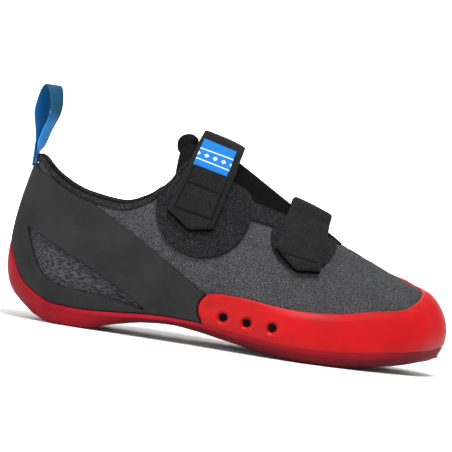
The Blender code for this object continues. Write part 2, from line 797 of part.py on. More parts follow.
def strap_grids(form, strap):
    """The outer and inner faces of a strap, as rows from its lateral end to its medial end."""
    inner = []
    for n in range(STRAP_ROWS):
        share = n / (STRAP_ROWS - 1)
        inner.append([strap_point(form, strap, w, share) for w in STRAP_COLUMNS])
    outer = thicken(inner, lambda row: -STRAP_THICKNESS)
    return outer, inner


def straps():
    """The two straps and the label on the upper one."""
    form = instep_form()
    for name, strap in (("lower_strap", LOWER_STRAP), ("upper_strap", UPPER_STRAP)):
        outer, inner = strap_grids(form, strap)
        slab(name, outer, inner, finishes["strap"])
    face = []
    for r in LABEL_ROWS:
        face.append([on_grid(outer, r + label_rise(w), w) for w in LABEL_COLUMNS])
    base = thicken(face, lambda row: -LABEL_SEAT)
    slab("strap_label", thicken(base, lambda row: -LABEL_THICKNESS), base, finishes["label"])


def label_rise(w):
    """How many rows higher the label lies at the share w of the strap's width than at its rear."""
    corner = STRAP_COLUMNS[2]
    return LABEL_SLANT * w + LABEL_BOW * min(w / corner, (1.0 - w) / (1.0 - corner))


def on_grid(grid, r, w):
    """A point of a strap's face at the row r and the share w of its width."""
    row = min(int(r), len(grid) - 2)
    c = bisect_right(STRAP_COLUMNS, w) - 1
    q = (w - STRAP_COLUMNS[c]) / (STRAP_COLUMNS[c + 1] - STRAP_COLUMNS[c])
    low, high = (grid[n][c].lerp(grid[n][c + 1], q) for n in (row, row + 1))
    return low.lerp(high, r - row)


# The binding's section, from its inner foot around: across the wall, then up
BINDING_SECTION = ((0.0, 0.0), (1.0, 0.0), (1.0, 0.7), (0.72, 1.0), (0.28, 1.0), (0.0, 0.7))


def collar_binding():
    """The knit binding that tops the wall around the collar."""
    sections = []
    for i in walk(AROUND - COLLAR_END, AROUND + COLLAR_END):
        edge = rib(i, 1.0)
        rise = (edge - rib(i, 0.97)).normalized()
        out = (skin(i, 1.0, MM) - edge).normalized()
        foot = edge + rise * BINDING_SEAM - out * 0.5 * (UPPER_WALL + BINDING_THICKNESS)
        sections.append([foot + out * across * BINDING_THICKNESS + rise * up * BINDING_HEIGHT
                         for across, up in BINDING_SECTION])
    return sweep("collar_binding", sections, finishes["binding"])


class LoopRow(NamedTuple):
    """A point of the pull loop's tape: share of its height, way forward, way aside, turn across."""

    height: float
    forward: float
    aside: float
    turn: float


LOOP = (
    LoopRow(0.00, 0.85 * MM, 0.0 * MM, 90.0),
    LoopRow(0.12, 1.05 * MM, -0.1 * MM, 88.0),
    LoopRow(0.20, 1.95 * MM, -0.3 * MM, 73.0),
    LoopRow(0.28, 2.70 * MM, -0.5 * MM, 64.0),
    LoopRow(0.42, 4.40 * MM, -1.5 * MM, 63.0),
    LoopRow(0.56, 6.65 * MM, -3.6 * MM, 60.0),
    LoopRow(0.66, 7.85 * MM, -4.9 * MM, 56.0),
    LoopRow(0.77, 7.95 * MM, -5.1 * MM, 50.0),
    LoopRow(0.88, 7.05 * MM, -4.2 * MM, 43.0),
    LoopRow(0.96, 5.75 * MM, -2.4 * MM, 33.0),
    LoopRow(1.00, 4.05 * MM, 0.0 * MM, 27.0),
    LoopRow(0.96, 2.25 * MM, 2.4 * MM, 27.0),
    LoopRow(0.88, 0.95 * MM, 4.2 * MM, 27.0),
    LoopRow(0.77, 0.05 * MM, 5.1 * MM, 26.0),
    LoopRow(0.66, -0.55 * MM, 4.9 * MM, 27.0),
    LoopRow(0.56, -0.20 * MM, 3.6 * MM, 36.0),
    LoopRow(0.42, 0.75 * MM, 1.5 * MM, 50.0),
    LoopRow(0.28, 1.15 * MM, 0.5 * MM, 62.0),
    LoopRow(0.20, 0.25 * MM, 0.3 * MM, 73.0),
    LoopRow(0.12, -0.65 * MM, 0.1 * MM, 88.0),
    LoopRow(0.00, -0.85 * MM, 0.0 * MM, 90.0),
)


def pull_loop():
    """The blue tape at the heel: a folded loop, sewn in above the rand and half twisted."""
    foot_z = skin(0, height_on_rib(0, band_line), RAND_SEAT).z + RAND_SEAM
    behind = rib(0, 1.0).x - 0.5 * (BINDING_THICKNESS - UPPER_WALL) - CLEARANCE
    middle_x = behind - LOOP[0].forward - 0.5 * LOOP_TAPE_THICKNESS
    path, ways = [], []
    for row in LOOP:
        turn = math.radians(row.turn)
        path.append(Vector((middle_x + row.forward, row.aside, foot_z + row.height * LOOP_HEIGHT)))
        ways.append(Vector((math.cos(turn), math.sin(turn), 0.0)))
    sections = []
    for n, (point, way) in enumerate(zip(path, ways)):
        course = path[min(n + 1, len(path) - 1)] - path[max(n - 1, 0)]
        across = way * 0.5 * LOOP_TAPE_WIDTH
        deep = course.cross(way).normalized() * 0.5 * LOOP_TAPE_THICKNESS
        sections.append([point - across - deep, point + across - deep,
                         point + across + deep, point - across + deep])
    return sweep("pull_loop", sections, finishes["blue"])


upper()
outsole()
insole()
heel_rand()
toe_rand()
loop_patch()
tongue()
straps()
collar_binding()
pull_loop()
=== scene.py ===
"""Looks of a right climbing shoe with two hook-and-loop straps.

Metres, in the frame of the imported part: X from heel to toe, Z up, the outer side faces -Y.
Every visible piece is modelled here as a fine mesh over the same last as the solids: a feather
line around the sole, a top line (collar, throat and vamp ridge), and a rib from the first to
the second at each place of the walk around the sole.
"""

import logging
import math
from dataclasses import dataclass, field
from enum import Enum
from typing import Callable, NamedTuple

import bmesh
import bpy
import numpy as np
from mathutils import Matrix, Vector
from mathutils.bvhtree import BVHTree


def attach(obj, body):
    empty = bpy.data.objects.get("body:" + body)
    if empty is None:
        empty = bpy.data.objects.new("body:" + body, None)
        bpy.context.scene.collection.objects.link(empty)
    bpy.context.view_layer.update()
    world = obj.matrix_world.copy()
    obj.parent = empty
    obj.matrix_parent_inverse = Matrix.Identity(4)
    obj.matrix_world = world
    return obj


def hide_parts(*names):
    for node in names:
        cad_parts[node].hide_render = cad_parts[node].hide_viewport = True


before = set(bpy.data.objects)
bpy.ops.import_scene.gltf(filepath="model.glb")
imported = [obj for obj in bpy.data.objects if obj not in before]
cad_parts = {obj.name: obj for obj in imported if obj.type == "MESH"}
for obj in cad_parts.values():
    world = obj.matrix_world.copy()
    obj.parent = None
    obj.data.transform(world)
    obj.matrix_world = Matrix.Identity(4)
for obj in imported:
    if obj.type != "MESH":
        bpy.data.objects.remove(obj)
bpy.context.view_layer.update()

LOG = logging.getLogger("climbing_shoe")
MM = 0.001
Array = np.ndarray
Pair = tuple[float, float]
UP = np.array([0.0, 0.0, 1.0])

# A height above the whole shoe, up to which the outlines of layers that end at the throat are led
LID = 150.0 * MM


# The last

class Sole(NamedTuple):
    """A station of the feather line: x of the length, widths of the ball width, heights of the instep."""

    x: float
    lateral: float
    medial: float
    board: float
    ground: float
    edge_rise: float


class Top(NamedTuple):
    """A station of the top line: x of the length, ridge and gap of the ball width, heights of the instep."""

    x: float
    z: float
    ridge: float
    gap: float
    crown: float


class Rib(NamedTuple):
    """Handles of a rib: outward ones share the ball width, upright ones the instep height."""

    low_out: float
    low_up: float
    top_out: float
    top_down: float


SOLE = (
    Sole(0.059, 0.000, 0.000, 0.120, 0.068, 0.310),
    Sole(0.082, 0.150, 0.150, 0.105, 0.034, 0.105),
    Sole(0.132, 0.262, 0.258, 0.095, 0.000, 0.030),
    Sole(0.190, 0.300, 0.290, 0.095, 0.000, 0.021),
    Sole(0.267, 0.320, 0.285, 0.105, 0.052, 0.022),
    Sole(0.332, 0.340, 0.275, 0.117, 0.087, 0.024),
    Sole(0.390, 0.363, 0.272, 0.124, 0.098, 0.021),
    Sole(0.444, 0.392, 0.285, 0.121, 0.086, 0.017),
    Sole(0.505, 0.432, 0.320, 0.100, 0.062, 0.010),
    Sole(0.567, 0.470, 0.370, 0.082, 0.037, 0.008),
    Sole(0.628, 0.494, 0.430, 0.066, 0.015, 0.008),
    Sole(0.690, 0.488, 0.482, 0.057, 0.000, 0.013),
    Sole(0.748, 0.449, 0.500, 0.057, 0.000, 0.018),
    Sole(0.802, 0.386, 0.489, 0.064, 0.014, 0.022),
    Sole(0.852, 0.305, 0.460, 0.080, 0.032, 0.024),
    Sole(0.902, 0.205, 0.410, 0.100, 0.053, 0.025),
    Sole(0.944, 0.075, 0.335, 0.120, 0.078, 0.027),
    Sole(0.981, -0.160, 0.160, 0.138, 0.096, 0.040),
)

TOP = (
    Top(0.044, 0.915, 0.000, 0.000, 0.00),
    Top(0.0555, 0.894, 0.000, 0.120, 0.00),
    Top(0.094, 0.806, 0.000, 0.222, 0.00),
    Top(0.163, 0.727, 0.000, 0.267, 0.00),
    Top(0.240, 0.702, 0.000, 0.284, 0.05),
    Top(0.294, 0.754, 0.000, 0.288, 0.14),
    Top(0.340, 0.872, 0.000, 0.270, 0.32),
    Top(0.382, 1.020, 0.010, 0.228, 0.18),
    Top(0.452, 0.975, 0.022, 0.172, 0.15),
    Top(0.528, 0.895, 0.034, 0.138, 0.12),
    Top(0.602, 0.812, 0.050, 0.118, 0.09),
    Top(0.675, 0.738, 0.068, 0.092, 0.06),
    Top(0.728, 0.692, 0.090, 0.052, 0.03),
    Top(0.767, 0.660, 0.108, 0.000, 0.00),
    Top(0.805, 0.622, 0.125, 0.000, 0.00),
    Top(0.844, 0.578, 0.142, 0.000, 0.00),
    Top(0.875, 0.545, 0.153, 0.000, 0.00),
    Top(0.898, 0.519, 0.160, 0.000, 0.00),
)

RIBS = (
    Rib(0.205, 0.100, 0.085, 0.295),
    Rib(0.165, 0.120, 0.070, 0.280),
    Rib(0.120, 0.160, 0.058, 0.260),
    Rib(0.090, 0.180, 0.056, 0.220),
    Rib(0.070, 0.200, 0.048, 0.200),
    Rib(0.058, 0.220, 0.070, 0.220),
    Rib(0.056, 0.240, 0.100, 0.240),
    Rib(0.056, 0.260, 0.125, 0.240),
    Rib(0.056, 0.260, 0.150, 0.180),
    Rib(0.055, 0.240, 0.182, 0.140),
    Rib(0.052, 0.220, 0.215, 0.100),
    Rib(0.052, 0.200, 0.240, 0.080),
    Rib(0.052, 0.180, 0.250, 0.060),
    Rib(0.056, 0.165, 0.250, 0.050),
    Rib(0.062, 0.150, 0.250, 0.042),
    Rib(0.075, 0.130, 0.255, 0.042),
    Rib(0.092, 0.110, 0.265, 0.048),
    Rib(0.088, 0.095, 0.285, 0.058),
)

TOE = len(SOLE) - 1
AROUND = 2 * TOE


def cubic(start: Array, rise: Array, a: Array, b: Array, t: Array) -> Array:
    """The cubic from a start over a rise, with the slopes a and b at its ends, at shares t."""
    return start + t * (a + t * (3.0 * rise - 2.0 * a - b + t * (a + b - 2.0 * rise)))


def catmull(values: Array, at: Array) -> Array:
    """Catmull-Rom curve through evenly placed values, read at fractions of their numbers."""
    last = len(values) - 1
    j = np.minimum(at.astype(int), last - 1)
    p0, p1, p2, p3 = (values[np.clip(j + d, 0, last)] for d in (-1, 0, 1, 2))
    return cubic(p1, p2 - p1, 0.5 * (p2 - p0), 0.5 * (p3 - p1), at - j)


def steady(xs: Array, vs: Array, x: Array, flat_ends: bool = False) -> Array:
    """Monotone cubic interpolation, which never leaves the range of neighbouring values.

    Args:
        xs: Growing positions of the known values.
        vs: The known values.
        x: Positions to read, of any shape.
        flat_ends: Whether the curve starts and ends level.

    Returns:
        The values at x.
    """
    xs, vs = np.asarray(xs, float), np.asarray(vs, float)
    x = np.clip(np.asarray(x, float), xs[0], xs[-1])
    gaps = np.diff(xs)
    rates = np.diff(vs) / gaps
    slopes = np.zeros(len(xs))
    before, after = rates[:-1], rates[1:]
    same = before * after > 0.0
    slopes[1:-1][same] = 2.0 * before[same] * after[same] / (before + after)[same]
    if not flat_ends:
        slopes[0], slopes[-1] = rates[0], rates[-1]
    k = np.clip(np.searchsorted(xs, x, side="right") - 1, 0, len(xs) - 2)
    t = (x - xs[k]) / gaps[k]
    a, b = slopes[k] * gaps[k], slopes[k + 1] * gaps[k]
    return cubic(vs[k], vs[k + 1] - vs[k], a, b, t)


def unit(vectors: Array) -> Array:
    """Vectors of length one along the last axis."""
    length = np.linalg.norm(vectors, axis=-1, keepdims=True)
    return vectors / np.maximum(length, 1e-12)


def smooth_step(low: float, high: float, x: Array) -> Array:
    """0 below low, 1 above high, and a soft ramp between."""
    t = np.clip((x - low) / (high - low), 0.0, 1.0)
    return t * t * (3.0 - 2.0 * t)


@dataclass(frozen=True)
class Last:
    """The form that the shoe is built on, in metres.

    Attributes:
        length: Heel to toe.
        heel_overhang: How far the heel reaches behind the origin.
        ball_width: Width that the widths in the tables share.
        instep_height: Height that the heights in the tables share.
        edge_lift: How much higher the outsole's upper edge lies in the front half.
        front_from: Where the front half begins: the ends of a soft step along X.
    """

    length: float = 260.0 * MM
    heel_overhang: float = 39.4 * MM
    ball_width: float = 88.0 * MM
    instep_height: float = 100.0 * MM
    edge_lift: float = 1.3 * MM
    front_from: Pair = (0.060, 0.110)

    def along(self, share: Array) -> Array:
        """World x of a share of the length."""
        return np.asarray(share, float) * self.length - self.heel_overhang

    def column(self, table: tuple, name: str, k: Array, scale: float, flat: bool = True) -> Array:
        """A column of a station table at the stations k, times a scale."""
        values = [getattr(row, name) for row in table]
        return steady(np.arange(TOE + 1), values, k, flat) * scale

    def sole_height(self, name: str, x: Array) -> Array:
        """A height of the sole's table at x."""
        values = [getattr(row, name) * self.instep_height for row in SOLE]
        return steady(self.along([row.x for row in SOLE]), values, x)

    def board(self, x: Array) -> Array:
        """Height of the lasting board at x."""
        return self.sole_height("board", x)

    def ground(self, x: Array) -> Array:
        """Height of the outsole's underside at x."""
        return self.sole_height("ground", x)

    def station(self, i: Array) -> tuple[Array, Array]:
        """Station and side (-1 outer, 1 inner) of places i on the walk around the sole."""
        i = np.mod(i, AROUND)
        outer = i <= TOE
        return np.where(outer, i, AROUND - i), np.where(outer, -1.0, 1.0)

    def feather(self, i: Array) -> tuple[Array, Array]:
        """The feather line.

        Args:
            i: Places on the walk, of any shape.

        Returns:
            The points at the height of the board, and the level way out from each.
        """
        nodes = []
        for j in range(AROUND):
            row = SOLE[j if j <= TOE else AROUND - j]
            width = -row.lateral if j <= TOE else row.medial
            nodes.append((float(self.along(row.x)), width * self.ball_width))
        nodes = np.array(nodes)
        i = np.asarray(i, float)
        j = np.floor(i).astype(int)
        t = (i - j)[..., None]
        p0, p1, p2, p3 = (nodes[np.mod(j + d, AROUND)] for d in (-1, 0, 1, 2))
        a, b = 0.5 * (p2 - p0), 0.5 * (p3 - p1)
        rise = p2 - p1
        plan = cubic(p1, rise, a, b, t)
        course = a + t * (2.0 * (3.0 * rise - 2.0 * a - b) + 3.0 * t * (a + b - 2.0 * rise))
        point = np.concatenate([plan, self.board(plan[..., 0])[..., None]], axis=-1)
        out = np.stack([course[..., 1], -course[..., 0], np.zeros_like(i)], axis=-1)
        return point, unit(out)

    def top(self, k: Array, side: Array) -> Array:
        """Points of the collar, the throat's edge or the vamp's ridge at stations k."""
        gap = self.column(TOP, "gap", k, self.ball_width, flat=False)
        return np.stack([
            self.along(self.column(TOP, "x", k, 1.0)),
            self.column(TOP, "ridge", k, self.ball_width) + side * gap,
            self.column(TOP, "z", k, self.instep_height),
        ], axis=-1)

    def rib(self, i: Array, t: Array) -> Array:
        """Points of the upper's outer surface at places i, and t from the feather line (0) to the top (1)."""
        i, t = np.broadcast_arrays(np.asarray(i, float), np.asarray(t, float))
        k, side = self.station(i)
        foot, out = self.feather(i)
        top = self.top(k, side)
        width, height = self.ball_width, self.instep_height
        low = foot + out * self.column(RIBS, "low_out", k, width)[..., None]
        low = low + UP * self.column(RIBS, "low_up", k, height)[..., None]
        high = top + out * self.column(RIBS, "top_out", k, width)[..., None]
        high = high - UP * self.column(RIBS, "top_down", k, height)[..., None]
        t = t[..., None]
        s = 1.0 - t
        return foot * s ** 3 + low * (3.0 * s * s * t) + high * (3.0 * s * t * t) + top * t ** 3

    def normal(self, i: Array, t: Array) -> Array:
        """The outward normal of the upper's surface."""
        step, small = 0.02, 0.004
        t = np.clip(t, small, 0.985 - small)
        across = self.rib(i + step, t) - self.rib(i - step, t)
        upward = self.rib(i, t + small) - self.rib(i, t - small)
        return unit(np.cross(across, upward))

    def skin(self, i: Array, t: Array, offset: Array) -> Array:
        """Points at a distance outside the upper's surface."""
        i, t, offset = np.broadcast_arrays(np.asarray(i, float), t, offset)
        return self.rib(i, t) + self.normal(i, t) * offset[..., None]

    def on_rib(self, i: Array, height: Callable[[Array], Array]) -> Array:
        """The t at which the ribs at i reach a height, which is a function of x."""
        i = np.asarray(i, float)
        low, high = np.zeros_like(i), np.ones_like(i)
        for _ in range(26):
            middle = 0.5 * (low + high)
            point = self.rib(i, middle)
            below = point[..., 2] < height(point[..., 0])
            low, high = np.where(below, middle, low), np.where(below, high, middle)
        return 0.5 * (low + high)

    def edge_height(self, i: Array) -> Array:
        """Height of the outsole's upper edge at places i."""
        k, _ = self.station(i)
        foot, _ = self.feather(i)
        ahead = smooth_step(*self.front_from, foot[..., 0])
        return foot[..., 2] + self.column(SOLE, "edge_rise", k, self.instep_height) + self.edge_lift * ahead

    def edge_rib(self, i: Array) -> Array:
        """Rib position of the outsole's upper edge."""
        return self.on_rib(i, lambda x: self.edge_height(i))

    def side_view(self, x: float, z: float) -> Pair:
        """World x and z of a point given in shares of the length and the instep height."""
        return float(self.along(x)), z * self.instep_height

    def side_line(self, places: tuple) -> list[Pair]:
        """World x and z of several such points."""
        return [self.side_view(*place) for place in places]


def walk(last: Last, start: float, end: float, spacing: float) -> Array:
    """Places of the walk from start to end, evenly spaced along the upper.

    Args:
        last: The form.
        start: First place.
        end: Last place, which is kept exactly.
        spacing: Distance between neighbours at half height, in metres.

    Returns:
        The places in order.
    """
    fine = np.linspace(start, end, 2000)
    run = last.rib(fine, np.full_like(fine, 0.35))
    steps = np.linalg.norm(np.diff(run, axis=0), axis=1)
    total = np.concatenate([[0.0], np.cumsum(steps)])
    count = max(2, int(round(total[-1] / spacing)) + 1)
    return np.interp(np.linspace(0.0, total[-1], count), total, fine)


def all_round(last: Last, spacing: float) -> Array:
    """Places all the way around, without the one at which the walk closes."""
    return walk(last, 0.0, AROUND, spacing)[:-1]


# Meshes

@dataclass
class Surface:
    """A piece in the making.

    Attributes:
        verts: Points, one row each.
        faces: Corner numbers of each face.
        cloth: For each point, its way along and across the piece in metres, for the materials.
        marks: Further values for each point, by name.
    """

    verts: Array
    faces: list
    cloth: Array
    marks: dict[str, Array] = field(default_factory=dict)

    def turned(self) -> "Surface":
        """This surface with its faces turned over."""
        return Surface(self.verts, [tuple(reversed(face)) for face in self.faces], self.cloth, self.marks)


def joined(surfaces: list[Surface]) -> Surface:
    """Several surfaces as one.

    Args:
        surfaces: The surfaces, which have no marks.

    Returns:
        The one surface.
    """
    starts = np.cumsum([0] + [len(one.verts) for one in surfaces]).tolist()
    faces = [tuple(v + start for v in face) for one, start in zip(surfaces, starts) for face in one.faces]
    return Surface(np.concatenate([one.verts for one in surfaces]), faces,
                   np.concatenate([one.cloth for one in surfaces]))


def grid_faces(rows: int, cols: int, closed: bool = False) -> list:
    """Quads of a grid of points kept row by row.

    Args:
        rows: Points down.
        cols: Points across.
        closed: Whether the last column joins the first.

    Returns:
        The faces.
    """
    r, c = np.meshgrid(np.arange(rows - 1), np.arange(cols if closed else cols - 1), indexing="ij")
    d = np.mod(c + 1, cols)
    quads = np.stack([r * cols + c, r * cols + d, (r + 1) * cols + d, (r + 1) * cols + c], axis=-1)
    return [tuple(q) for q in quads.reshape(-1, 4).tolist()]


def lengths(points: Array, axis: int) -> Array:
    """Distance travelled along an axis of a grid of points."""
    steps = np.linalg.norm(np.diff(points, axis=axis), axis=-1)
    zero = np.zeros_like(np.take(steps, [0], axis=axis))
    return np.concatenate([zero, np.cumsum(steps, axis=axis)], axis=axis)


def cloth_of(points: Array) -> Array:
    """The way along (rows) and across (columns) of every point of a grid."""
    return np.stack([lengths(points, 0), lengths(points, 1)], axis=-1)


def sheet(grid: Array) -> Surface:
    """A grid of points as a surface."""
    return Surface(grid.reshape(-1, 3), grid_faces(*grid.shape[:2]), cloth_of(grid).reshape(-1, 2))


def round_sheet(grid: Array) -> Surface:
    """A grid of points as a surface whose last row joins its first."""
    return sheet(np.concatenate([grid, grid[:1]], axis=0))


def upward_normals(points: Array, row: int) -> Array:
    """Normals of a grid of points, on the side where the middle one of a row points up."""
    normals = unit(np.cross(np.gradient(points, axis=0), np.gradient(points, axis=1)))
    return -normals if normals[row, points.shape[1] // 2, 2] < 0.0 else normals


def rounded(distance: Array, radius: float, start: float = 0.3) -> Array:
    """Share of the thickness at a distance in from a cut edge: start at the edge, 1 beyond the radius."""
    q = 1.0 - np.clip(distance / radius, 0.0, 1.0)
    return start + (1.0 - start) * np.sqrt(np.clip(1.0 - q * q, 0.0, 1.0))


def over_surface(points: Array, value: Array, least: float = 0.3) -> Array:
    """Turn a value over a grid into a distance on the surface, by its slope there."""
    pu, pv = np.gradient(points, axis=0), np.gradient(points, axis=1)
    vu, vv = np.gradient(value, axis=0), np.gradient(value, axis=1)
    e, f, g = (pu * pu).sum(-1), (pu * pv).sum(-1), (pv * pv).sum(-1)
    slope = (g * vu * vu - 2.0 * f * vu * vv + e * vv * vv) / np.maximum(e * g - f * f, 1e-18)
    return value / np.sqrt(np.maximum(slope, least * least))


class Trimmed(NamedTuple):
    """What is left of a grid inside an outline: place, rib position, distance in, and faces."""

    i: Array
    t: Array
    inside: Array
    faces: list


def trimmed(i: Array, t: Array, inside: Array) -> Trimmed:
    """Cut a grid exactly along the line where a distance is zero.

    Args:
        i: Places of the grid's points.
        t: Rib positions of the grid's points.
        inside: Distance in from the outline, below zero outside it.

    Returns:
        The points and faces that are inside.
    """
    rows, cols = i.shape
    flat = [np.array(a, float).reshape(-1) for a in (i, t, inside)]
    value = flat[2]
    value[np.abs(value) < 0.06 * MM] = 0.0
    keep = value >= 0.0
    quads = np.array(grid_faces(rows, cols))
    whole = keep[quads].all(axis=1)
    crossed = keep[quads].any(axis=1) & ~whole
    faces = [tuple(q) for q in quads[whole].tolist()]
    extra: list[tuple[float, float, float]] = []
    cuts: dict[tuple[int, int], int] = {}
    for quad in quads[crossed].tolist():
        polygon = []
        for a, b in zip(quad, quad[1:] + quad[:1]):
            if keep[a]:
                polygon.append(a)
            if keep[a] != keep[b] and value[a] != 0.0 and value[b] != 0.0:
                key = (min(a, b), max(a, b))
                if key not in cuts:
                    q = value[key[0]] / (value[key[0]] - value[key[1]])
                    mixed = [f[key[0]] + (f[key[1]] - f[key[0]]) * q for f in flat[:2]]
                    cuts[key] = rows * cols + len(extra)
                    extra.append((mixed[0], mixed[1], 0.0))
                polygon.append(cuts[key])
        if len(polygon) > 2:
            faces.append(tuple(polygon))
    if extra:
        added = np.array(extra).T
        flat = [np.concatenate([f, a]) for f, a in zip(flat, added)]
    used = sorted({v for face in faces for v in face})
    number = {v: n for n, v in enumerate(used)}
    faces = [tuple(number[v] for v in face) for face in faces]
    return Trimmed(flat[0][used], flat[1][used], flat[2][used], faces)


def rim_edges(faces: list) -> list[tuple[int, int]]:
    """Edges that only one face has, in that face's order."""
    seen: dict[tuple[int, int], tuple[int, int] | None] = {}
    for face in faces:
        for a, b in zip(face, face[1:] + face[:1]):
            key = (min(a, b), max(a, b))
            seen[key] = None if key in seen else (a, b)
    return [edge for edge in seen.values() if edge is not None]


def add_wall(surface: Surface, foot: Callable[[Array], Array]) -> Surface:
    """Close a surface's edge with a wall down to what it lies on.

    Args:
        surface: The surface.
        foot: Gives the foot points for the numbers of points on the edge.

    Returns:
        The surface with its wall.
    """
    edges = rim_edges(surface.faces)
    on_edge = sorted({v for edge in edges for v in edge})
    number = {v: len(surface.verts) + n for n, v in enumerate(on_edge)}
    wall = [(b, a, number[a], number[b]) for a, b in edges]
    index = np.array(on_edge)
    marks = {n: np.concatenate([m, m[index]]) for n, m in surface.marks.items()}
    return Surface(np.concatenate([surface.verts, foot(index)]), list(surface.faces) + wall,
                   np.concatenate([surface.cloth, surface.cloth[index]]), marks)


def tube_ends(rows: int, cols: int) -> list:
    """The two faces that fill the ends of a tube, which has rows of so many points."""
    return [tuple(range(cols)), tuple((rows - 1) * cols + c for c in reversed(range(cols)))]


def tube(sections: Array, closed_ends: bool = True) -> Surface:
    """A closed body through sections of points.

    Args:
        sections: Points as section, point of the section, axis.
        closed_ends: Whether both ends are filled.

    Returns:
        The surface, with its way along and around as cloth.
    """
    rows, cols = sections.shape[:2]
    faces = grid_faces(rows, cols, closed=True) + (tube_ends(rows, cols) if closed_ends else [])
    return Surface(sections.reshape(-1, 3), faces, cloth_of(sections).reshape(-1, 2))


def polygon_distance(x: Array, z: Array, outline: list[Pair]) -> Array:
    """Distance in from a polygon in the side view, below zero outside it."""
    best = np.full(np.shape(x), np.inf)
    inside = np.zeros(np.shape(x), bool)
    for (ax, az), (bx, bz) in zip(outline, outline[1:] + outline[:1]):
        dx, dz = bx - ax, bz - az
        q = np.clip(((x - ax) * dx + (z - az) * dz) / (dx * dx + dz * dz), 0.0, 1.0)
        best = np.minimum(best, np.hypot(x - ax - q * dx, z - az - q * dz))
        with np.errstate(divide="ignore", invalid="ignore"):
            crossing = ((az > z) != (bz > z)) & (x < (bx - ax) * (z - az) / (bz - az) + ax)
        inside ^= crossing
    return np.where(inside, best, -best)


def soft_min(a: Array, b: Array, blend: float) -> Array:
    """The smaller of two distances, with the corner between them rounded."""
    h = np.clip(0.5 + 0.5 * (b - a) / blend, 0.0, 1.0)
    return b + (a - b) * h - blend * h * (1.0 - h)


def resampled(points: Array, spacing: float) -> Array:
    """A polyline at an even spacing.

    Args:
        points: Points of the polyline, with any number of columns.
        spacing: Distance between neighbours, over all columns.

    Returns:
        The points.
    """
    run = lengths(points, 0)
    count = max(2, int(round(run[-1] / spacing)) + 1)
    places = np.linspace(0.0, run[-1], count)
    return np.stack([np.interp(places, run, points[:, n]) for n in range(points.shape[1])], axis=-1)


@dataclass(frozen=True)
class Stitching:
    """A row of sewn stitches.

    Attributes:
        pitch: Distance from stitch to stitch.
        cover: Share of the pitch that the thread shows.
        thread: Radius of the thread.
        rings: Along a half stitch, the place, the share of the radius and the height in radii.
        sides: Points around the thread.
    """

    pitch: float = 2.6 * MM
    cover: float = 0.60
    thread: float = 0.46 * MM
    rings: tuple = (
        (-1.0, 0.35, -0.9), (-0.75, 0.85, -0.1), (0.0, 1.0, 0.35), (0.75, 0.85, -0.1), (1.0, 0.35, -0.9),
    )
    sides: int = 6

    def along(self, path: Array, normals: Array) -> Surface:
        """Stitches along a path on a surface.

        Args:
            path: Points of the path, on the surface.
            normals: The surface's normal at each.

        Returns:
            All stitches as one surface.
        """
        both = resampled(np.concatenate([path, normals], axis=1), self.pitch)
        middle, up = both[:, :3], unit(both[:, 3:])
        course = unit(np.gradient(middle, axis=0))
        aside = unit(np.cross(up, course))
        reach = 0.5 * self.pitch * self.cover
        turns = np.arange(self.sides) * 2.0 * math.pi / self.sides
        parts = []
        for along, wide, high in self.rings:
            centre = middle + course * along * reach + up * high * self.thread
            for turn in turns:
                way = aside * math.cos(turn) + up * math.sin(turn)
                parts.append(centre + way * wide * self.thread)
        verts = np.stack(parts, axis=1)
        size = (len(self.rings), self.sides)
        one = grid_faces(*size, closed=True) + tube_ends(*size)
        each = verts.shape[1]
        faces = [tuple(v + n * each for v in face) for n in range(len(verts)) for face in one]
        flat = verts.reshape(-1, 3)
        return Surface(flat, faces, np.zeros((len(flat), 2)))


def make_object(name: str, surface: Surface, material: bpy.types.Material,
                nodes: tuple[str, ...] = (), sharp: float = 50.0) -> bpy.types.Object:
    """Turn a surface into an object that rides on the shoe.

    Args:
        name: The object's name.
        surface: What it is made of.
        material: Its finish.
        nodes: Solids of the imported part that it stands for.
        sharp: Angle in degrees above which an edge stays sharp.

    Returns:
        The object.
    """
    mesh = bpy.data.meshes.new(name)
    mesh.from_pydata(surface.verts.tolist(), [], surface.faces)
    mesh.validate()
    layer = mesh.uv_layers.new(name="cloth")
    corners = np.zeros(len(mesh.loops), np.int64)
    mesh.loops.foreach_get("vertex_index", corners)
    layer.data.foreach_set("uv", surface.cloth[corners].astype(np.float32).reshape(-1))
    for mark, values in surface.marks.items():
        attribute = mesh.attributes.new(mark, "FLOAT", "POINT")
        attribute.data.foreach_set("value", values.astype(np.float32))
    work = bmesh.new()
    work.from_mesh(mesh)
    bmesh.ops.remove_doubles(work, verts=work.verts, dist=0.003 * MM)
    work.to_mesh(mesh)
    work.free()
    mesh.shade_smooth()
    mesh.set_sharp_from_angle(angle=math.radians(sharp))
    mesh.materials.append(material)
    made = bpy.data.objects.new(name, mesh)
    bpy.context.scene.collection.objects.link(made)
    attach(made, "root")
    if nodes:
        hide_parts(*nodes)
    LOG.info("%s: %d points, %d faces", name, len(mesh.vertices), len(mesh.polygons))
    return made


# Finishes

def linear(code: int) -> tuple[float, float, float, float]:
    """Linear colour, with alpha 1, of an sRGB hex value."""
    channels = [(code >> shift & 255) / 255.0 for shift in (16, 8, 0)]
    r, g, b = (c / 12.92 if c <= 0.04045 else ((c + 0.055) / 1.055) ** 2.4 for c in channels)
    return r, g, b, 1.0


SOFT_RANGE = {"interpolation_type": "SMOOTHSTEP"}
COLORS = {"data_type": "RGBA"}


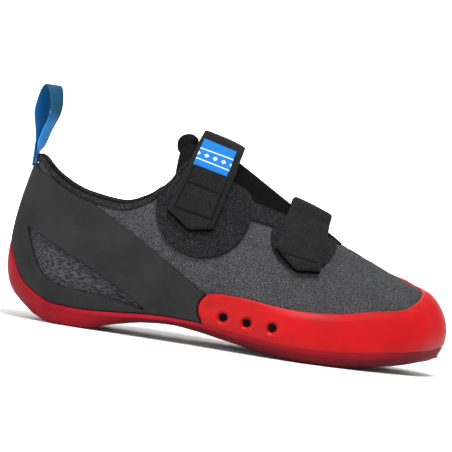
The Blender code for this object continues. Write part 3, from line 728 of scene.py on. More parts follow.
@dataclass
class Shade:
    """A material in the making: its node tree and its shader."""

    name: str
    material: bpy.types.Material = field(init=False)

    def __post_init__(self) -> None:
        """Make the empty material."""
        self.material = bpy.data.materials.new(self.name)
        self.material.use_nodes = True
        self.tree = self.material.node_tree
        self.shader = self.tree.nodes["Principled BSDF"]

    def set(self, **values: object) -> None:
        """Set the shader's sockets, written with underscores for spaces."""
        for key, value in values.items():
            self.shader.inputs[key.replace("_", " ")].default_value = value

    def node(self, kind: str, out: str | int, inputs: dict | None = None,
             settings: dict | None = None) -> bpy.types.NodeSocket:
        """Add a node with its settings and links.

        Args:
            kind: The node's type, without its ShaderNode prefix.
            out: Name or number of the output wanted.
            inputs: Values or output sockets for its inputs, by name or number.
            settings: Attributes to set on it.

        Returns:
            The output.
        """
        made = self.tree.nodes.new("ShaderNode" + kind)
        for key, value in (settings or {}).items():
            setattr(made, key, value)
        for key, value in (inputs or {}).items():
            if isinstance(value, bpy.types.NodeSocket):
                self.tree.links.new(value, made.inputs[key])
            else:
                made.inputs[key].default_value = value
        return made.outputs[out]

    def grains(self, vector: bpy.types.NodeSocket, size: float, low: float, high: float,
               top: float = 1.0) -> bpy.types.NodeSocket:
        """Soft spots of about a size in metres: none where the noise is under low, full over high."""
        noise = self.node("TexNoise", "Fac", {"Vector": vector, "Scale": 1.0 / size, "Detail": 2.0,
                                              "Roughness": 0.6})
        return self.node("MapRange", "Result", {"Value": noise, "From Min": low, "From Max": high,
                                                "To Max": top}, SOFT_RANGE)

    def clouded(self, color: bpy.types.NodeSocket, vector: bpy.types.NodeSocket, size: float,
                spread: float) -> bpy.types.NodeSocket:
        """A colour made lighter and darker in wide soft patches, by a share of spread."""
        cloud = self.grains(vector, size, 0.3, 0.7, 2.0 * spread)
        tone = self.node("Math", "Value", {0: cloud, 1: 1.0 - spread}, {"operation": "ADD"})
        grey = self.node("CombineColor", "Color", {0: tone, 1: tone, 2: tone})
        return self.node("Mix", 2, {0: 1.0, 6: color, 7: grey}, COLORS | {"blend_type": "MULTIPLY"})

    def done(self, color: bpy.types.NodeSocket, normal: bpy.types.NodeSocket,
             roughness: bpy.types.NodeSocket | None = None) -> bpy.types.Material:
        """Lead colour, normal and roughness into the shader, and return the material."""
        self.tree.links.new(color, self.shader.inputs["Base Color"])
        self.tree.links.new(normal, self.shader.inputs["Normal"])
        if roughness is not None:
            self.tree.links.new(roughness, self.shader.inputs["Roughness"])
        return self.material


class Nap(Enum):
    """How a suede's nap lies."""

    EVEN = "even"
    STREAKED = "streaked"


@dataclass(frozen=True)
class Suede:
    """Buffed microfibre suede: short nap that scatters light, with pale and dark fibre ends.

    It gives a matte mid grey with a salt-and-pepper grain of about a millimetre. The real
    fibre ends are finer, and are drawn as coarse as they need to be to show.
    """

    name: str
    base: int
    pale: int
    dark: int
    grain: float
    nap: Nap = Nap.EVEN

    def make(self) -> bpy.types.Material:
        """Build the material."""
        shade = Shade(self.name)
        shade.set(Roughness=0.92, IOR=1.45, Sheen_Weight=0.06, Sheen_Roughness=0.5,
                  Sheen_Tint=linear(0xB8B8BC), Specular_IOR_Level=0.1)
        place = shade.node("TexCoord", "Object")
        streaks = self.nap is Nap.STREAKED
        if streaks:
            place = shade.node("Mapping", "Vector", {"Vector": place, "Scale": (0.30, 1.0, 1.4),
                                                     "Rotation": (0.0, math.radians(-25.0), 0.0)})
        fine = shade.grains(place, self.grain, 0.34, 0.68)
        specks = shade.grains(place, self.grain * 0.6, 0.54, 0.74, 0.7)
        color = shade.node("Mix", 2, {0: fine, 6: linear(self.dark), 7: linear(self.base)}, COLORS)
        color = shade.node("Mix", 2, {0: specks, 6: color, 7: linear(self.pale)}, COLORS)
        color = shade.clouded(color, place, 14.0 * MM, 0.08)
        depth = 0.50 * MM if streaks else 0.30 * MM
        normal = shade.node("Bump", "Normal", {"Height": fine, "Distance": depth, "Strength": 0.9})
        normal = shade.node("Bump", "Normal", {"Height": specks, "Distance": 0.1 * MM, "Strength": 0.6,
                                               "Normal": normal})
        dimples = shade.grains(place, 4.5 * MM, 0.30, 0.70)
        normal = shade.node("Bump", "Normal", {"Height": dimples, "Distance": 0.5 * MM, "Strength": 0.8,
                                               "Normal": normal})
        return shade.done(color, normal)


@dataclass(frozen=True)
class Rubber:
    """Moulded or calendered sheet rubber: smooth with a faint skin, satin rather than glossy.

    Its soft wide highlights show the form. The scuffs are paler and duller. An edge width draws
    painted shade along the cut edge of a layer, and foot is how much painted shade darkens it
    towards the under colour where it faces down, only in part behind the start given along X.
    """

    name: str
    base: int
    deep: int
    worn: int
    roughness: float
    grain: float
    grain_depth: float
    wear: float
    gloss: float = 0.12
    edge: float = 0.0
    foot: float = 0.0
    underside_shade_from: float = -1.0
    under: int = 0x000000

    def make(self) -> bpy.types.Material:
        """Build the material."""
        shade = Shade(self.name)
        shade.set(IOR=1.52, Specular_IOR_Level=self.gloss)
        place = shade.node("TexCoord", "Object")
        cloud = shade.grains(place, 26.0 * MM, 0.30, 0.70)
        fine = shade.grains(place, self.grain, 0.25, 0.75)
        worn = shade.grains(place, 2.2 * MM, 0.58, 0.78, self.wear)
        color = shade.node("Mix", 2, {0: cloud, 6: linear(self.deep), 7: linear(self.base)}, COLORS)
        color = shade.node("Mix", 2, {0: worn, 6: color, 7: linear(self.worn)}, COLORS)
        # Painted shade: near black over the cut edge of a layer, within the edge width.
        if self.edge > 0.0:
            inside = shade.node("Attribute", "Fac", settings={"attribute_name": "inside"})
            near = shade.node("MapRange", "Result", {"Value": inside, "From Max": self.edge, "To Min": 0.55,
                                                     "To Max": 0.0}, SOFT_RANGE)
            color = shade.node("Mix", 2, {0: near, 6: color, 7: linear(0x0C0C0C)}, COLORS)
        # Painted shade: darker towards the under colour where the surface faces down, and only in part behind
        # the start along X.
        if self.foot > 0.0:
            facing = shade.node("NewGeometry", "Normal")
            upward = shade.node("SeparateXYZ", "Z", {"Vector": facing})
            low = shade.node("MapRange", "Result", {"Value": upward, "From Min": -0.55, "From Max": 0.20,
                                                    "To Min": self.foot, "To Max": 0.0}, SOFT_RANGE)
            ahead = shade.node("SeparateXYZ", "X", {"Vector": place})
            ahead = shade.node("MapRange", "Result", {
                "Value": ahead, "From Min": self.underside_shade_from, "From Max": self.underside_shade_from + 40.0 * MM,
                "To Min": 0.3,
            }, SOFT_RANGE)
            low = shade.node("Math", "Value", {0: low, 1: ahead}, {"operation": "MULTIPLY"})
            color = shade.node("Mix", 2, {0: low, 6: color, 7: linear(self.under)}, COLORS)
        rough = shade.node("Math", "Value", {0: fine, 1: 0.1, 2: self.roughness - 0.05},
                           {"operation": "MULTIPLY_ADD"})
        rough = shade.node("Math", "Value", {0: worn, 1: 0.3, 2: rough}, {"operation": "MULTIPLY_ADD"})
        normal = shade.node("Bump", "Normal", {"Height": fine, "Distance": self.grain_depth, "Strength": 0.8})
        return shade.done(color, normal, rough)


@dataclass(frozen=True)
class Fleck:
    """Felt, knit or brushed cloth: short tangled fibres, near black with lighter ends in the light."""

    name: str
    base: int
    fleck: int
    grain: float
    amount: float
    depth: float
    sheen: float

    def make(self) -> bpy.types.Material:
        """Build the material."""
        shade = Shade(self.name)
        shade.set(Roughness=0.95, IOR=1.45, Sheen_Weight=self.sheen, Sheen_Roughness=0.45,
                  Sheen_Tint=linear(0x8A8A8E), Specular_IOR_Level=0.08)
        place = shade.node("TexCoord", "Object")
        fibre = shade.grains(place, self.grain, 0.40, 0.72)
        ends = shade.grains(place, self.grain * 0.55, 0.58, 0.76, self.amount)
        half = shade.node("Math", "Value", {0: fibre, 1: 0.5}, {"operation": "MULTIPLY"})
        color = shade.node("Mix", 2, {0: half, 6: linear(self.base), 7: linear(self.fleck)}, COLORS)
        color = shade.node("Mix", 2, {0: ends, 6: color, 7: linear(self.fleck)}, COLORS)
        color = shade.clouded(color, place, 9.0 * MM, 0.10)
        normal = shade.node("Bump", "Normal", {"Height": fibre, "Distance": self.depth, "Strength": 0.9})
        return shade.done(color, normal)


@dataclass(frozen=True)
class Tape:
    """Woven polyester tape: fine cross ribs with painted shade in the line between, glossy where it lies
    smooth.

    Painted light and shade along the tape: a shaded foot, a painted highlight low on the near leg, which
    lies smooth, painted shade near its top turn, and a shaded far leg that shows its ribs. pitch is the
    real rib spacing, and the places are along the tape.
    """

    name: str = "blue_ribbed_tape"
    foot: int = 0x0A3E7C
    painted_highlight: int = 0x1A7EC4
    fold: int = 0x144862
    far: int = 0x0F5E98
    dark: int = 0x08284E
    pitch: float = 1.1 * MM
    depth: float = 0.2 * MM
    stops: tuple = (6.0 * MM, 14.0 * MM, 24.0 * MM, 36.0 * MM, 50.0 * MM, 58.0 * MM)

    def make(self) -> bpy.types.Material:
        """Build the material."""
        shade = Shade(self.name)
        shade.set(Roughness=0.5, IOR=1.5, Specular_IOR_Level=0.15)
        uv = shade.node("UVMap", "UV", settings={"uv_map": "cloth"})
        way = shade.node("SeparateXYZ", "X", {"Vector": uv})
        # Painted light and shade: the blue steps along the tape from the shaded foot to the painted
        # highlight, the painted shade near the top and the shaded far leg.
        color = linear(self.foot)
        steps = ((self.painted_highlight, 0), (self.fold, 2), (self.far, 4))
        for code, n in steps:
            share = shade.node("MapRange", "Result", {"Value": way, "From Min": self.stops[n],
                                                      "From Max": self.stops[n + 1]}, SOFT_RANGE)
            color = shade.node("Mix", 2, {0: share, 6: color, 7: linear(code)}, COLORS)
        ribs = shade.node("TexWave", "Fac", {"Vector": uv, "Scale": 0.314 / self.pitch, "Distortion": 0.6,
                                             "Detail": 1.0, "Detail Scale": 1.5}, {"bands_direction": "X"})
        ribbed = shade.node("MapRange", "Result", {
            "Value": way, "From Min": self.stops[2], "From Max": self.stops[4], "To Min": 0.12, "To Max": 0.8,
        }, SOFT_RANGE)
        gap = shade.node("MapRange", "Result", {
            "Value": ribs, "From Max": 0.5, "To Min": 1.0, "To Max": 0.0,
        }, SOFT_RANGE)
        # Painted shade in the line between the ribs, strongest on the far leg.
        painted_groove_shade = shade.node("Math", "Value", {0: gap, 1: ribbed}, {"operation": "MULTIPLY"})
        color = shade.node("Mix", 2, {0: painted_groove_shade, 6: color, 7: linear(self.dark)}, COLORS)
        normal = shade.node("Bump", "Normal", {"Height": ribs, "Distance": self.depth, "Strength": ribbed})
        return shade.done(color, normal)


@dataclass(frozen=True)
class Thread:
    """Twisted polyester sewing thread: a soft gloss, and a fine twist drawn as light and dark."""

    name: str = "black_sewing_thread"
    base: int = 0x040404
    light: int = 0x0E0E0F

    def make(self) -> bpy.types.Material:
        """Build the material."""
        shade = Shade(self.name)
        shade.set(Roughness=0.7, IOR=1.5, Specular_IOR_Level=0.1)
        place = shade.node("TexCoord", "Object")
        twist = shade.grains(place, 0.4 * MM, 0.35, 0.65)
        color = shade.node("Mix", 2, {0: twist, 6: linear(self.base), 7: linear(self.light)}, COLORS)
        normal = shade.node("Bump", "Normal", {"Height": twist, "Distance": 0.05 * MM})
        return shade.done(color, normal)


@dataclass(frozen=True)
class Label:
    """Jacquard-woven label: blue satin ground with white figures, crossed by fine threads.

    The figures are a plain ornament: a row of small diamonds between two thin lines.
    """

    name: str = "blue_woven_label"
    ground: int = 0x1774BE
    figure: int = 0xCBD0D5
    dark: int = 0x125EA4
    pitch: float = 5.2 * MM
    size: float = 1.5 * MM
    middle: float = 8.0 * MM
    line: float = 3.8 * MM
    thread: float = 0.5 * MM

    def make(self) -> bpy.types.Material:
        """Build the material."""
        shade = Shade(self.name)
        shade.set(Roughness=0.62, IOR=1.5, Specular_IOR_Level=0.1)
        uv = shade.node("UVMap", "UV", settings={"uv_map": "cloth"})
        along = shade.node("SeparateXYZ", "X", {"Vector": uv})
        across = shade.node("SeparateXYZ", "Y", {"Vector": uv})
        wrapped = shade.node("Math", "Value", {0: across, 1: 0.5 * self.pitch}, {"operation": "PINGPONG"})
        off = shade.node("Math", "Value", {0: along, 1: self.middle}, {"operation": "SUBTRACT"})
        off = shade.node("Math", "Value", {0: off}, {"operation": "ABSOLUTE"})
        reach = shade.node("Math", "Value", {0: wrapped, 1: off}, {"operation": "ADD"})
        soft = 0.1 * MM
        diamond = shade.node("MapRange", "Result", {
            "Value": reach, "From Min": self.size - soft, "From Max": self.size + soft, "To Min": 1.0,
            "To Max": 0.0,
        })
        from_line = shade.node("Math", "Value", {0: off, 1: self.line}, {"operation": "SUBTRACT"})
        from_line = shade.node("Math", "Value", {0: from_line}, {"operation": "ABSOLUTE"})
        line = shade.node("MapRange", "Result", {
            "Value": from_line, "From Min": 0.25 * MM, "From Max": 0.45 * MM, "To Min": 1.0, "To Max": 0.0,
        })
        figure = shade.node("Math", "Value", {0: diamond, 1: line}, {"operation": "MAXIMUM"})
        place = shade.node("TexCoord", "Object")
        weave = shade.grains(place, self.thread, 0.35, 0.65)
        ground = shade.node("Mix", 2, {0: weave, 6: linear(self.dark), 7: linear(self.ground)}, COLORS)
        color = shade.node("Mix", 2, {0: figure, 6: ground, 7: linear(self.figure)}, COLORS)
        normal = shade.node("Bump", "Normal", {"Height": weave, "Distance": 0.06 * MM, "Strength": 0.8})
        return shade.done(color, normal)


SUEDE = Suede("grey_buffed_suede", 0x4C4C4D, 0x76767A, 0x222223, 0.75 * MM)
WINDOW_SUEDE = Suede("grey_streaked_suede", 0x48484A, 0x70707A, 0x161617, 0.95 * MM, Nap.STREAKED)
# Painted shade: both red rubbers darken where they face down.
RED_RUBBER = Rubber("red_moulded_rubber", 0xAE080D, 0xA0070B, 0xB8262A, 0.42, 0.5 * MM, 0.015 * MM, 0.12,
                    gloss=0.16, foot=0.7, under=0x6A060C)
OUTSOLE_RUBBER = Rubber("crimson_sheet_rubber", 0x90051A, 0x7E0418, 0x962430, 0.6, 0.6 * MM, 0.02 * MM, 0.15,
                        foot=0.85, underside_shade_from=0.0, under=0x3A0308)
# Painted shade: the heel rand's rubber darkens along its cut edges.
BLACK_RUBBER = Rubber("charcoal_sheet_rubber", 0x272728, 0x1F1F20, 0x363637, 0.8, 0.7 * MM, 0.08 * MM, 0.4,
                      edge=0.9 * MM)
LOOP_FELT = Fleck("charcoal_loop_felt", 0x111112, 0x48484A, 0.8 * MM, 0.6, 0.45 * MM, 0.05)
STRAP_CLOTH = Fleck("black_brushed_strap", 0x161617, 0x363637, 0.6 * MM, 0.45, 0.2 * MM, 0.08)
BLACK_STRETCH = Fleck("black_stretch_fabric", 0x0A0A0B, 0x121213, 0.4 * MM, 0.2, 0.05 * MM, 0.0)
# The hook pad's near black is real, and where it shows below a strap it is a painted shadow.
HOOK_PAD_AND_PAINTED_SHADOW = Fleck("black_hook_pad_and_painted_shadow", 0x050505, 0x0A0A0A, 0.5 * MM, 0.2, 0.1 * MM, 0.0)
LINING_CLOTH = Fleck("dark_lining_cloth", 0x1C1C1D, 0x2A2A2B, 0.7 * MM, 0.3, 0.12 * MM, 0.05)
BINDING_KNIT = Fleck("dark_binding_knit", 0x19191A, 0x4A4A4B, 0.8 * MM, 0.45, 0.25 * MM, 0.05)
LIP_KNIT = Fleck("black_lip_knit", 0x0F0F10, 0x242425, 0.6 * MM, 0.3, 0.1 * MM, 0.05)
BLUE_TAPE = Tape()
SEWING_THREAD = Thread()
LABEL_WEAVE = Label()


# The shoe's pieces

class Crease(NamedTuple):
    """A fold in the suede: a line in the side view, in shares of length and instep height."""

    start: Pair
    end: Pair
    width: float
    depth: float


# Fine wrinkles ahead of the throat, then the wide flex troughs over the ball and at the waist
CREASES = (
    Crease((0.728, 0.672), (0.785, 0.640), 0.7 * MM, 0.45 * MM),
    Crease((0.736, 0.652), (0.800, 0.612), 0.8 * MM, 0.40 * MM),
    Crease((0.752, 0.652), (0.812, 0.622), 0.7 * MM, 0.35 * MM),
    Crease((0.745, 0.628), (0.790, 0.592), 1.0 * MM, 0.25 * MM),
    Crease((0.700, 0.520), (0.660, 0.330), 6.0 * MM, 0.45 * MM),
    Crease((0.760, 0.560), (0.745, 0.360), 5.0 * MM, 0.35 * MM),
    Crease((0.520, 0.640), (0.600, 0.420), 7.0 * MM, 0.40 * MM),
    Crease((0.330, 0.560), (0.470, 0.420), 8.0 * MM, 0.35 * MM),
)


@dataclass(frozen=True)
class Upper:
    """The suede upper: its outer skin with raw top edge, and the lining inside.

    Attributes:
        last: The form.
        wall: Thickness of the suede with its lining.
        spacing: Distance between the points around.
        rows: Rows of points from the sole up.
        edge_rows: Rows of points over the cut top edge.
        ridge: Height of the ridge beside a crease, as a share of the crease's depth.
        ridge_away: Its distance from the crease, in widths of the crease.
    """

    last: Last
    wall: float = 2.0 * MM
    spacing: float = 1.35 * MM
    rows: int = 70
    edge_rows: int = 5
    ridge: float = 0.45
    ridge_away: float = 1.7

    def folds(self, points: Array) -> Array:
        """How far the creases press the skin in at points."""
        depth = np.zeros(points.shape[:-1])
        for crease in CREASES:
            ax, az = self.last.side_view(*crease.start)
            bx, bz = self.last.side_view(*crease.end)
            dx, dz = bx - ax, bz - az
            q = ((points[..., 0] - ax) * dx + (points[..., 2] - az) * dz) / (dx * dx + dz * dz)
            qc = np.clip(q, 0.0, 1.0)
            away = np.hypot(points[..., 0] - ax - qc * dx, points[..., 2] - az - qc * dz)
            ends = np.sin(math.pi * qc) ** 0.6
            trough = np.exp(-(away / crease.width) ** 2)
            ridge = self.ridge * np.exp(-((away - self.ridge_away * crease.width) / crease.width) ** 2)
            depth += crease.depth * ends * (trough - ridge)
        return depth

    def skin(self) -> Surface:
        """The outer skin and the cut edge around its top."""
        places = all_round(self.last, self.spacing)
        i, t = np.meshgrid(places, np.linspace(0.0, 1.0, self.rows), indexing="ij")
        points = self.last.rib(i, t)
        normals = self.last.normal(i, t)
        points = points - normals * self.folds(points)[..., None] * smooth_step(0.0, 0.1, t)[..., None]
        k, _ = self.last.station(places)
        gap = self.last.column(TOP, "gap", k, self.last.ball_width, flat=False)
        is_open = smooth_step(0.0, 1.5 * MM, gap)
        rise = unit(self.last.rib(places, 1.0) - self.last.rib(places, 0.96))
        parts = [points]
        for n in range(1, self.edge_rows + 1):
            turn = math.pi * n / self.edge_rows
            inward = 0.5 * self.wall * (1.0 - math.cos(turn))
            up = 0.25 * self.wall * math.sin(turn) * is_open
            row = self.last.rib(places, 1.0) - self.last.normal(places, 1.0) * inward + rise * up[:, None]
            parts.append(row[:, None])
        return round_sheet(np.concatenate(parts, axis=1))

    def lining(self) -> Surface:
        """The inner face, from the lasting board to the top edge."""
        places = all_round(self.last, 2.0 * self.spacing)
        i, t = np.meshgrid(places, np.linspace(1.0, 0.0, self.rows // 2 - 1), indexing="ij")
        return round_sheet(self.last.skin(i, t, np.full_like(t, -self.wall)))

    def build(self) -> None:
        """Make the upper's objects."""
        make_object("upper_suede", self.skin(), SUEDE.make(), ("upper",), sharp=70.0)
        make_object("upper_lining", self.lining(), LINING_CLOTH.make())


def inward_rows(rim: Array, spine: Array, shares: Array, height: Callable[[Array], Array]) -> list[Array]:
    """Rows of points from a rim in to a spine.

    Args:
        rim: Points of the rim.
        spine: For each of them, the point in plan that the rows close on.
        shares: How far in each row lies.
        height: Height of the rows, as a function of x.

    Returns:
        The rows.
    """
    rows = []
    for q in shares:
        plan = rim[..., :2] + (spine - rim[..., :2]) * q
        rows.append(np.concatenate([plan, height(plan[..., 0])[..., None]], axis=-1))
    return rows


@dataclass(frozen=True)
class Outsole:
    """The crimson outsole: a thin cup round the heel, a bevelled edge and a smooth underside.

    Attributes:
        last: The form.
        clearance: Its distance from the suede.
        lip: Thickness at its upper edge.
        side: Thickness low on the side at the heel.
        front_side: The same in front of side_ends.
        side_ends: Where the one gives way to the other, along X.
        toe_push: How much further out it stands in front of toe_ends.
        toe_ends: Where that sets in, along X.
        corner_lift: How much higher its lower corner lies in the front half.
        spacing: Distance between the points around.
        spine_heel: Rear end of the line that the underside closes on, as a share of the length.
        spine_toe: Front end of the same.
        spine_creep: How much of the way beyond those ends that line still goes.
    """

    last: Last
    clearance: float = 0.45 * MM
    lip: float = 1.9 * MM
    side: float = 3.2 * MM
    front_side: float = 2.15 * MM
    side_ends: Pair = (0.040, 0.090)
    toe_push: float = 1.2 * MM
    toe_ends: Pair = (0.196, 0.213)
    corner_lift: float = 1.0 * MM
    spacing: float = 1.4 * MM
    spine_heel: float = 0.144
    spine_toe: float = 0.862
    spine_creep: float = 0.3

    def spine(self, i: Array) -> Array:
        """Points in plan that the underside closes on at places i."""
        k, _ = self.last.station(i)
        outer, inner = self.last.feather(k)[0], self.last.feather(np.mod(AROUND - k, AROUND))[0]
        x = outer[..., 0]
        heel, toe = self.last.along(self.spine_heel), self.last.along(self.spine_toe)
        x = np.where(x < heel, heel + (x - heel) * self.spine_creep, x)
        x = np.where(x > toe, toe + (x - toe) * self.spine_creep, x)
        return np.stack([x, 0.5 * (outer[..., 1] + inner[..., 1])], axis=-1)

    def section(self, i: Array) -> Array:
        """All points of the outsole's outer face at places i, from inside its lip to the spine."""
        foot, out = self.last.feather(i)
        edge = self.last.edge_rib(i)
        front = smooth_step(*self.side_ends, foot[..., 0])
        thick = self.side + (self.front_side - self.side) * front
        push = (self.toe_push * smooth_step(*self.toe_ends, foot[..., 0]))[..., None]
        parts = []
        for share, offset in ((0.90, 0.05), (0.99, 0.30), (1.0, 0.70)):
            parts.append(self.last.skin(i, edge * share, self.clearance + self.lip * offset))
        for share in np.linspace(0.99, 0.2, 12):
            wall = thick + (self.lip - thick) * share ** 2
            near_lip = 1.0 - 0.08 * (1.0 - smooth_step(0.0, 0.1, np.array(1.0 - share)))
            parts.append(self.last.skin(i, edge * share, self.clearance + wall * near_lip))
        last_wall = parts[-1]
        side = foot + out * (thick[..., None] - 0.4 * MM + push)
        side[..., 2] = 0.45 * foot[..., 2] + 0.55 * self.last.ground(side[..., 0])
        corner = foot + out * (1.2 * MM + push)
        raised = self.corner_lift * smooth_step(*self.last.front_from, foot[..., 0])
        corner[..., 2] = self.last.ground(corner[..., 0]) + 0.9 * MM + raised
        tread = foot - out * 1.6 * MM
        tread[..., 2] = self.last.ground(tread[..., 0])
        corners = np.stack([last_wall, side, corner, tread])
        for leg in range(3):
            a, b = corners[leg], corners[leg + 1]
            parts += [a + (b - a) * q for q in (0.2, 0.5, 0.8)]
        parts += inward_rows(tread, self.spine(i), np.linspace(0.0, 1.0, 12), self.last.ground)
        return np.stack(parts, axis=1)

    def build(self) -> None:
        """Make the outsole."""
        surface = round_sheet(self.section(all_round(self.last, self.spacing))).turned()
        make_object("outsole_rubber", surface, OUTSOLE_RUBBER.make(), ("outsole",),
                    sharp=60.0)


@dataclass(frozen=True)
class Insole:
    """The foam insole with its cloth face, seen through the collar."""

    last: Last
    lift: float = 2.6 * MM
    thickness: float = 2.5 * MM
    spacing: float = 3.0 * MM

    def build(self) -> None:
        """Make the insole."""
        places = all_round(self.last, self.spacing)
        foot, out = self.last.feather(places)
        spine = Outsole(self.last).spine(places)
        rows = []
        for inset, up in ((2.8, 0.0), (2.5, 0.4), (2.5, 2.0), (3.0, 2.4), (4.0, 2.5)):
            rim = foot - out * inset * MM
            rim[..., 2] = self.last.board(rim[..., 0]) + self.lift + up * MM
            rows.append(rim)
        rows += inward_rows(rows[-1], spine, np.linspace(0.12, 1.0, 9),
                            lambda x: self.last.board(x) + self.lift + self.thickness)
        surface = round_sheet(np.stack(rows, axis=1))
        make_object("insole_foam", surface, LINING_CLOTH.make(), ("insole",))


@dataclass(frozen=True)
class Overlay:
    """A layer cut to an outline and laid on the upper.

    Attributes:
        last: The form.
        height: How far its face stands outside the suede.
        edge_round: How far in from the cut it reaches that height.
        edge_share: Share of the height that it has at the cut itself.
        spacing: Distance between the points of its mesh.
    """

    last: Last
    height: float
    edge_round: float
    edge_share: float = 0.4
    spacing: float = 0.9 * MM

    def surface(self, first: float, end: float, low: Callable[[Array], Array],
                high: Callable[[Array], Array], inside: Callable[[Array, Array], Array],
                relief: Callable[[Array, Array, Array], Array] | None = None) -> Surface:
        """The layer's face and its cut edge.

        Args:
            first: First place of the walk that it may reach.
            end: Last such place.
            low: Rib position below its lower edge at each place.
            high: Rib position above its upper edge at each place.
            inside: Distance in from its outline, for points and places.
            relief: Height added to its face, for points, distances in and places.

        Returns:
            The surface.
        """
        places = walk(self.last, first, end, self.spacing)
        start, stop = low(places), high(places)
        tallest = np.linalg.norm(self.last.rib(places, stop) - self.last.rib(places, start), axis=-1).max()
        share = np.linspace(0.0, 1.0, int(1.08 * tallest / self.spacing) + 2)
        i, share = np.meshgrid(places, share, indexing="ij")
        t = start[:, None] + (stop - start)[:, None] * share
        points = self.last.rib(i, t)
        cut = trimmed(i, t, over_surface(points, inside(points, i)))
        flat = self.last.rib(cut.i, cut.t)
        height = self.height * rounded(cut.inside, self.edge_round, self.edge_share)
        if relief is not None:
            height = height + relief(flat, cut.inside, cut.i)
        verts = self.last.skin(cut.i, cut.t, height)
        cloth = np.stack([flat[:, 0], flat[:, 2]], axis=-1)
        surface = Surface(verts, cut.faces, cloth, {"inside": cut.inside})

        def foot(index: Array) -> Array:
            """Where the cut edge goes into the suede."""
            return self.last.skin(cut.i[index], cut.t[index], np.full(len(index), -0.25 * MM))

        return add_wall(surface, foot)

    def within(self, first: float, end: float, low: float, outline: list) -> Surface:
        """The layer between two places, above a rib position and inside an outline in the side view."""
        return self.surface(first, end, lambda i: np.full_like(i, low), np.ones_like,
                            lambda points, i: polygon_distance(points[..., 0], points[..., 2], outline))


